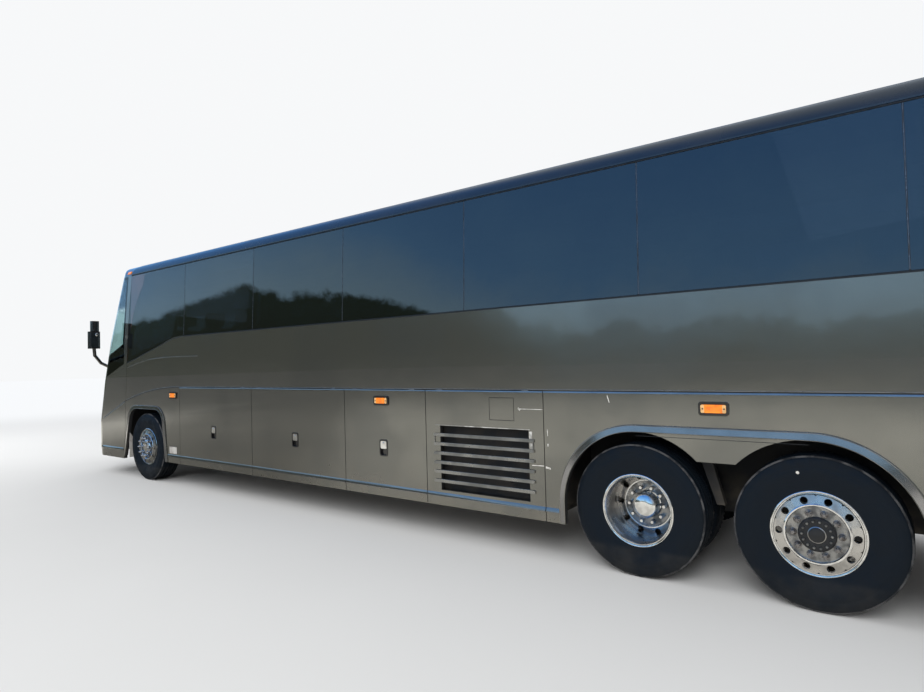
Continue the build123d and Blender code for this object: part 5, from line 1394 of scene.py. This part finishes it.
def make_steering_wheel():
    """Round rim, hub, spokes and shaft of the steering wheel."""
    axis = Vector((-math.cos(STEERING_TILT), 0, math.sin(STEERING_TILT)))
    turn = Vector((0, 1, 0)).rotation_difference(axis).to_matrix().to_4x4()
    matrix = Matrix.Translation(STEERING_PLACE) @ turn
    grip = []
    for i in range(GRIP_POINTS):
        angle = 2 * math.pi * i / GRIP_POINTS
        grip.append((STEERING_R + GRIP_R * math.cos(angle), GRIP_R * math.sin(angle)))
    parts = [lathe(grip, 64), turned_up(-0.025, (0.046, 0), (0.046, 0.035), (0.036, 0.047), segments=32),
             turned_up(-0.0697, (0.022, 0), (0.022, 0.05), segments=20)]
    spoke = block((0.03, -0.005, -0.014), (STEERING_R - 0.003, 0.005, 0.014))
    for i in range(SPOKES):
        angle = 2 * math.pi * (i + 0.5) / SPOKES
        parts.append(turned(spoke, Matrix.Rotation(angle, 4, "Y")))
    make("steering_wheel_round", turned(merge(*parts), matrix), seal_black, "steering_wheel", bevel=0.002,
         replaces=["steering_wheel"])


HEADLAMPS = ((6.75, 0.755), (6.662, 0.952))
HEADLAMP_Z = 1.007
# Dark box behind the headlamps: rear, front, inner and outer side, bottom, top
LAMP_BACK = (6.592, 6.598, 0.63, 1.13, 0.895, 1.12)
FOG_PLACE = (0.8, 0.6)
INTAKE_HALF = 0.55
INTAKE_Z = (0.57, 0.73)
INTAKE_BARS = (0.602, 0.642, 0.682)
INTAKE_BAR = 0.016
PLATE_HALF = 0.153
PLATE_Z = (0.3, 0.44)
DOOR_PANE = [(5.73, 1.24), (6.232, 1.24), (5.866, 2.67), (5.73, 2.67)]
DOOR_HANDLE_X = 5.712
# Entry door's handle, as (distance outwards, z)
DOOR_HANDLE = ((0.0, 1.02), (0.012, 1.03), (0.012, 1.17), (0.0, 1.18))


def make_front_details():
    """Headlamp insides, fog lamps, intake, blank plate, and the entry door's seals and handle."""
    bowl = lathe([(0.018, -0.06), (0.05, -0.045), (0.078, -0.012), (0.085, 0.0), (0.09, 0.0), (0.09, -0.012),
                  (0.055, -0.057), (0.018, -0.07)], 40)
    bulb = turned_up(-0.06, (0.018, 0), (0.018, 0.03), (0.012, 0.042), segments=20)
    fog = lathe([(0.052, -0.004), (0.052, 0.006), (0.058, 0.009), (0.064, 0.006), (0.064, -0.004)], 36)
    fog_lens = turned_up(-0.002, (0.053, 0), (0.05, 0.006), (0.02, 0.009), segments=36)
    for word, side in SIDES:
        bowls, bulbs = [], []
        for x, y in HEADLAMPS:
            bowls.append(facing(bowl, (x, side * y, HEADLAMP_Z), 1))
            bulbs.append(facing(bulb, (x, side * y, HEADLAMP_Z), 1))
        make(f"lamp_bowls_{word}", merge(*bowls), bright_chrome, smooth=60)
        make(f"lamp_bulbs_{word}", merge(*bulbs), clear_lamp)
        x0, x1, inner, outer, z0, z1 = LAMP_BACK
        make(f"lamp_back_{word}", sided(block((x0, inner, z0), (x1, outer, z1)), side), gloss_black)
        fog_y, fog_z = FOG_PLACE
        make(f"fog_ring_{word}", set_on_end(fog, side * fog_y, fog_z, 1), gloss_black)
        make(f"fog_lens_{word}", set_on_end(fog_lens, side * fog_y, fog_z, 1), clear_lamp)
        y0, y1 = sorted((side * (inner + 0.025), side * outer))
        trims = [plate_on_end((-0.004, y0, z), (0.003, y1, z + 0.009), 1) for z in (z0 + 0.001, z1 - 0.01)]
        make(f"lamp_trim_{word}", merge(*trims), gloss_black)
    z0, z1 = INTAKE_Z
    intake = plate_on_end((-0.004, -INTAKE_HALF, z0), (0.0003, INTAKE_HALF, z1), 1, (24, 2))
    make("intake", intake, dark_line)
    bars = []
    for z in INTAKE_BARS:
        low, high = (-0.004, -INTAKE_HALF, z), (0.0007, INTAKE_HALF, z + INTAKE_BAR)
        bars.append(plate_on_end(low, high, 1, (24, 1)))
    make("intake_bars", merge(*bars), end_paint)
    z0, z1 = PLATE_Z
    plate = plate_on_end((-0.002, -PLATE_HALF, z0), (0.004, PLATE_HALF, z1), 1, (4, 2))
    make("front_plate_blank", plate, plate_white)
    path = []
    for (xa, za), (xb, zb) in zip(DOOR_PANE, DOOR_PANE[1:] + DOOR_PANE[:1]):
        for i in range(10):
            x, z = xa + (xb - xa) * i / 10, za + (zb - za) * i / 10
            path.append((x, -front_side_y(x, z), z))
    make("door_seal", tube(path + path[:1], 0.007, 8), seal_black, "entry_door")
    grab = [(DOOR_HANDLE_X, -SKIN_Y - out, z) for out, z in DOOR_HANDLE]
    make("door_handle", tube(grab, 0.007, 10), bright_chrome, "entry_door")
    kick = block((5.68, -SKIN_Y - 0.0015, 0.4), (6.3, -SKIN_Y + 0.001, 0.46))
    make("door_kick_strip", kick, dull_steel, "entry_door", bevel=0.0005)


TAIL_Y = 1.045
TAIL_LAMPS = ((1.45, red), (1.25, amber), (1.05, clear_lamp))
REFLECTOR = ((0.9, 1.12), (0.52, 0.56))
CLEARANCE = ((0.93, 1.02), (3.32, 3.355))
MIDDLE_CLEARANCES = (-0.16, 0.0, 0.16)
LATCHES_Y = (-0.66, 0.66)
# Dark border of the rear window: half width, bottom and top, and how wide it is
REAR_WINDOW = (0.9, 2.262, 3.078, 0.045)
REAR_PLATE = ((-6.9035, -0.155, 0.392), (-6.8975, 0.155, 0.548))
EXHAUST_PLACE = (-6.86, -0.72, 0.36)
HATCHES = {"front": 3.5, "rear": -4.3}
# Half length and half width of a hatch's seal, outside and inside, and its heights
HATCH_SEAL = ((0.462, 0.387), (0.44, 0.365))
HATCH_SEAL_Z = (3.522, 3.536)


def make_rear_details():
    """Tail and clearance lamps, reflectors, blank plate, engine door latches, exhaust and hatch seals."""
    ring = lathe([(0.06, -0.014), (0.06, 0.008), (0.066, 0.011), (0.072, 0.008), (0.072, -0.014)], 36)
    lens = turned_up(-0.01, (0.061, 0), (0.061, 0.014), (0.055, 0.02), (0.02, 0.023), segments=36)
    for word, side in SIDES:
        rings = []
        for z, finish_of in TAIL_LAMPS:
            rings.append(set_on_end(ring, side * TAIL_Y, z, -1))
            make(f"tail_lens_{round(100 * z)}_{word}", set_on_end(lens, side * TAIL_Y, z, -1), finish_of)
        make(f"tail_rings_{word}", merge(*rings), bright_chrome)
        span, (z0, z1) = REFLECTOR
        y0, y1 = sorted(side * y for y in span)
        # Red reflector in the glowing lens finish: its glow is painted light
        make(f"rear_reflector_{word}", plate_on_end((-0.003, y0, z0), (0.003, y1, z1), -1), red)
        span, (z0, z1) = CLEARANCE
        y0, y1 = sorted(side * y for y in span)
        make(f"clearance_{word}", plate_on_end((-0.004, y0, z0), (0.008, y1, z1), -1, (4, 1)), red)
    high = [
        plate_on_end((-0.004, y - 0.05, z0), (0.008, y + 0.05, z1), -1, (4, 1)) for y in MIDDLE_CLEARANCES
    ]
    make("clearance_middle", merge(*high), red)
    make("rear_plate_blank", block(*REAR_PLATE), plate_white, bevel=0.001)
    pockets = [plate_on_end((-0.003, y - 0.07, 0.73), (0.002, y + 0.07, 0.79), -1, (4, 1)) for y in LATCHES_Y]
    make("engine_door_pockets", merge(*pockets), gloss_black, "engine_door")
    levers = [plate_on_end((0.001, y - 0.05, 0.75), (0.005, y + 0.05, 0.776), -1, (4, 1)) for y in LATCHES_Y]
    make("engine_door_levers", merge(*levers), bright_chrome, "engine_door", bevel=0.001)
    half, z0, z1, wide = REAR_WINDOW
    border = [
        plate_on_end((-0.002, -half, z), (0.0008, half, z + wide), -1, (16, 1)) for z in (z0, z1 - wide)
    ]
    for y in (-half, half - wide):
        border.append(plate_on_end((-0.002, y, z0 + wide), (0.0008, y + wide, z1 - wide), -1, (2, 12)))
    make("rear_window_border", merge(*border), dark_line)
    pipe = lathe([(0.046, -0.2), (0.05, -0.2), (0.05, 0.0), (0.046, 0.0)], 28)
    make("exhaust", facing(pipe, EXHAUST_PLACE, -1), dull_steel)
    for word, x in HATCHES.items():
        (outer_x, outer_y), (inner_x, inner_y) = HATCH_SEAL
        outer = rounded((x - outer_x, -outer_y), (x + outer_x, outer_y), 0.03)
        inner = rounded((x - inner_x, -inner_y), (x + inner_x, inner_y), 0.01)
        seal = frame_ring(outer, inner, *HATCH_SEAL_Z)
        flat = [(px, pz, py) for px, py, pz in seal[0]], [tuple(reversed(face)) for face in seal[1]]
        make(f"hatch_seal_{word}", flat, seal_black)


CAMERA_PLACE = (-4.830, 5.891, 1.745)
CAMERA_YAW = math.radians(-53.320)
CAMERA_PITCH = math.radians(1.468)
CAMERA_ROLL = math.radians(-1.518)
SENSOR_MM = 36.0
LENS_MM = 23.29
VIEW_END = 400.0


def look_from_camera():
    """Camera at the photograph's place, angle and field of view."""
    yaw, pitch, roll = CAMERA_YAW, CAMERA_PITCH, CAMERA_ROLL
    forward = Vector((math.cos(yaw) * math.cos(pitch), math.sin(yaw) * math.cos(pitch), math.sin(pitch)))
    right = Vector((math.sin(yaw), -math.cos(yaw), 0.0))
    up = right.cross(forward)
    right, up = math.cos(roll) * right + math.sin(roll) * up, math.cos(roll) * up - math.sin(roll) * right
    camera = bpy.data.objects.new("camera", bpy.data.cameras.new("camera"))
    camera.matrix_world = Matrix((right, up, -forward)).transposed().to_4x4()
    camera.location = CAMERA_PLACE
    camera.data.sensor_width = SENSOR_MM
    camera.data.lens = LENS_MM
    camera.data.clip_end = VIEW_END
    bpy.context.scene.collection.objects.link(camera)
    bpy.context.scene.camera = camera


BACKDROP = (0.93, 0.94, 0.95)
FLOOR_REACH = 150.0
FLOOR_COLOURS = ((0.66, 0.66, 0.655), (0.7, 0.7, 0.695))
# Distances between which the floor fades into the backdrop
FLOOR_FADE = (9.0, 26.0)
# Ground that only the paint and glass mirror: its lit and shaded colours, and where the shade starts and ends
LIT_GROUND = ((0.42, 0.41, 0.37), (0.95, 0.9, 0.8))
SHADED_GROUND = ((0.1, 0.1, 0.09), (0.3, 0.28, 0.24))
SHADE_START = (-1.8, 1.0)
SHADE_END = (6.0, 11.0)
FAR_SHADE = (17.0, 27.0)
# Light from all round, and what paint and glass mirror of it: blue toward one side, plain elsewhere
SOFT_LIGHT = (0.78, 0.79, 0.8)
PLAIN_LOW = (0.2, 0.2, 0.19)
PLAIN_HIGH = (0.42, 0.47, 0.53)
PLAIN_SPAN = (-0.1, 0.55)
BLUE_DIRECTION = (0.77, 0.64)
BLUE_SPAN = (0.0, 0.5)
HORIZON_RISE = 0.125
RISE_SPAN = (0.94, 0.99)
HORIZON_UNEVEN = 0.16
HORIZON_LIFT = 0.04
BLUE_STOPS = [
    # height, colour
    (0.0, (0.055, 0.065, 0.045)),
    (0.085, (0.06, 0.085, 0.06)),
    (0.1, (0.5, 0.78, 1.0)),
    (0.26, (0.25, 0.55, 0.98)),
    (0.55, (0.11, 0.33, 0.8)),
    (0.9, (0.07, 0.22, 0.6)),
]
LAMPS = [
    # name, place, watts, size
    ("key", (-6.0, 14.0, 11.0), 1500.0, 10.0),
    ("front_fill", (16.0, 6.0, 8.0), 900.0, 8.0),
    ("back_fill", (-4.0, -14.0, 9.0), 1000.0, 10.0),
]
LAMP_AIM = Vector((0, 0, 1.5))


def make_studio():
    """Pale floor, soft lamps and a plain world with a darker horizon in its reflections."""
    floor_paint = bpy.data.materials.new("studio_floor")
    floor_paint.use_nodes = True
    tree = floor_paint.node_tree
    shader = tree.nodes["Principled BSDF"]
    shader.inputs["Roughness"].default_value = 0.9
    shader.inputs["Specular IOR Level"].default_value = 0.1
    value = noise_node(tree, object_place(tree)[0], 0.4)
    pale = mix_colour(tree, value, *FLOOR_COLOURS)
    distance = tree.nodes.new("ShaderNodeVectorMath")
    distance.operation = "LENGTH"
    tree.links.new(object_place(tree)[0], distance.inputs[0])
    rays = tree.nodes.new("ShaderNodeLightPath")
    seen = sum_node(tree, "MAXIMUM", rays.outputs["Is Camera Ray"], rays.outputs["Is Transmission Ray"])
    far = sum_node(tree, "MULTIPLY", ramp_between(tree, distance.outputs["Value"], *FLOOR_FADE), seen)
    tree.links.new(mix_colour(tree, far, (0.0, 0.0, 0.0), BACKDROP), shader.inputs["Emission Color"])
    shader.inputs["Emission Strength"].default_value = 1.0
    shown = mix_colour(tree, far, pale, (0.0, 0.0, 0.0))
    place, x, y, _ = object_place(tree)
    patchy = noise_node(tree, place, 0.22, 5.0)
    lit = mix_colour(tree, patchy, *LIT_GROUND)
    shaded = mix_colour(tree, patchy, *SHADED_GROUND)
    along = sum_node(tree, "SUBTRACT", x, y)
    started = ramp_between(tree, along, *SHADE_START)
    beyond = sum_node(tree, "SUBTRACT", started, ramp_between(tree, along, *SHADE_END))
    beyond = sum_node(tree, "MAXIMUM", beyond, ramp_between(tree, distance.outputs["Value"], *FAR_SHADE))
    ground = mix_colour(tree, beyond, lit, shaded)
    tree.links.new(
        mix_colour(tree, rays.outputs["Is Glossy Ray"], shown, ground), shader.inputs["Base Color"],
    )
    mesh = bpy.data.meshes.new("studio_floor")
    reach = FLOOR_REACH
    corners = [(-reach, -reach, 0), (reach, -reach, 0), (reach, reach, 0), (-reach, reach, 0)]
    mesh.from_pydata(corners, [], [(0, 1, 2, 3)])
    mesh.materials.append(floor_paint)
    floor = bpy.data.objects.new("studio_floor", mesh)
    bpy.context.scene.collection.objects.link(floor)

    world = bpy.data.worlds.new("studio")
    bpy.context.scene.world = world
    world.use_nodes = True
    tree = world.node_tree
    background = tree.nodes["Background"]
    split = tree.nodes.new("ShaderNodeSeparateXYZ")
    tree.links.new(tree.nodes.new("ShaderNodeTexCoord").outputs["Generated"], split.inputs[0])
    ramp = tree.nodes.new("ShaderNodeValToRGB")
    shares = [
        sum_node(tree, "MULTIPLY", split.outputs[axis], part) for axis, part in zip("XY", BLUE_DIRECTION)
    ]
    toward = sum_node(tree, "ADD", *shares)
    rise = sum_node(tree, "MULTIPLY", ramp_between(tree, toward, *RISE_SPAN), HORIZON_RISE)
    edge = tree.nodes.new("ShaderNodeTexNoise")
    edge.inputs["Scale"].default_value = 9.0
    edge.inputs["Detail"].default_value = 9.0
    edge.inputs["Roughness"].default_value = 0.62
    tree.links.new(tree.nodes["Texture Coordinate"].outputs["Generated"], edge.inputs["Vector"])
    uneven = sum_node(tree, "MULTIPLY", sum_node(tree, "SUBTRACT", edge.outputs["Fac"], 0.5), HORIZON_UNEVEN)
    height = sum_node(tree, "SUBTRACT", sum_node(tree, "SUBTRACT", split.outputs["Z"], rise), uneven)
    tree.links.new(sum_node(tree, "ADD", height, HORIZON_LIFT), ramp.inputs["Fac"])
    while len(ramp.color_ramp.elements) < len(BLUE_STOPS):
        ramp.color_ramp.elements.new(0.5)
    for element, (spot, colour) in zip(ramp.color_ramp.elements, BLUE_STOPS):
        element.position = spot
        element.color = (*colour, 1.0)
    rays = tree.nodes.new("ShaderNodeLightPath")
    plain = mix_colour(tree, ramp_between(tree, split.outputs["Z"], *PLAIN_SPAN), PLAIN_LOW, PLAIN_HIGH)
    mirrored = mix_colour(tree, ramp_between(tree, toward, *BLUE_SPAN), plain, ramp.outputs["Color"])
    glossy = mix_colour(tree, rays.outputs["Is Glossy Ray"], SOFT_LIGHT, mirrored)
    seen = sum_node(tree, "MAXIMUM", rays.outputs["Is Camera Ray"], rays.outputs["Is Transmission Ray"])
    tree.links.new(mix_colour(tree, seen, glossy, BACKDROP), background.inputs["Color"])

    for name, place, watts, size in LAMPS:
        data = bpy.data.lights.new(name, "AREA")
        data.energy = watts
        data.size = size
        lamp = bpy.data.objects.new(name, data)
        lamp.location = place
        lamp.visible_glossy = False
        lamp.rotation_euler = (LAMP_AIM - Vector(place)).to_track_quat("-Z", "Y").to_euler()
        bpy.context.scene.collection.objects.link(lamp)
    bpy.context.scene.view_settings.view_transform = "Standard"


dress_frame()
make_wheels()
make_markers()
make_flap_details()
make_body_lines()
make_arches()
make_marks()
make_mirrors()
make_seats()
make_steering_wheel()
make_front_details()
make_rear_details()
make_studio()
look_from_camera()
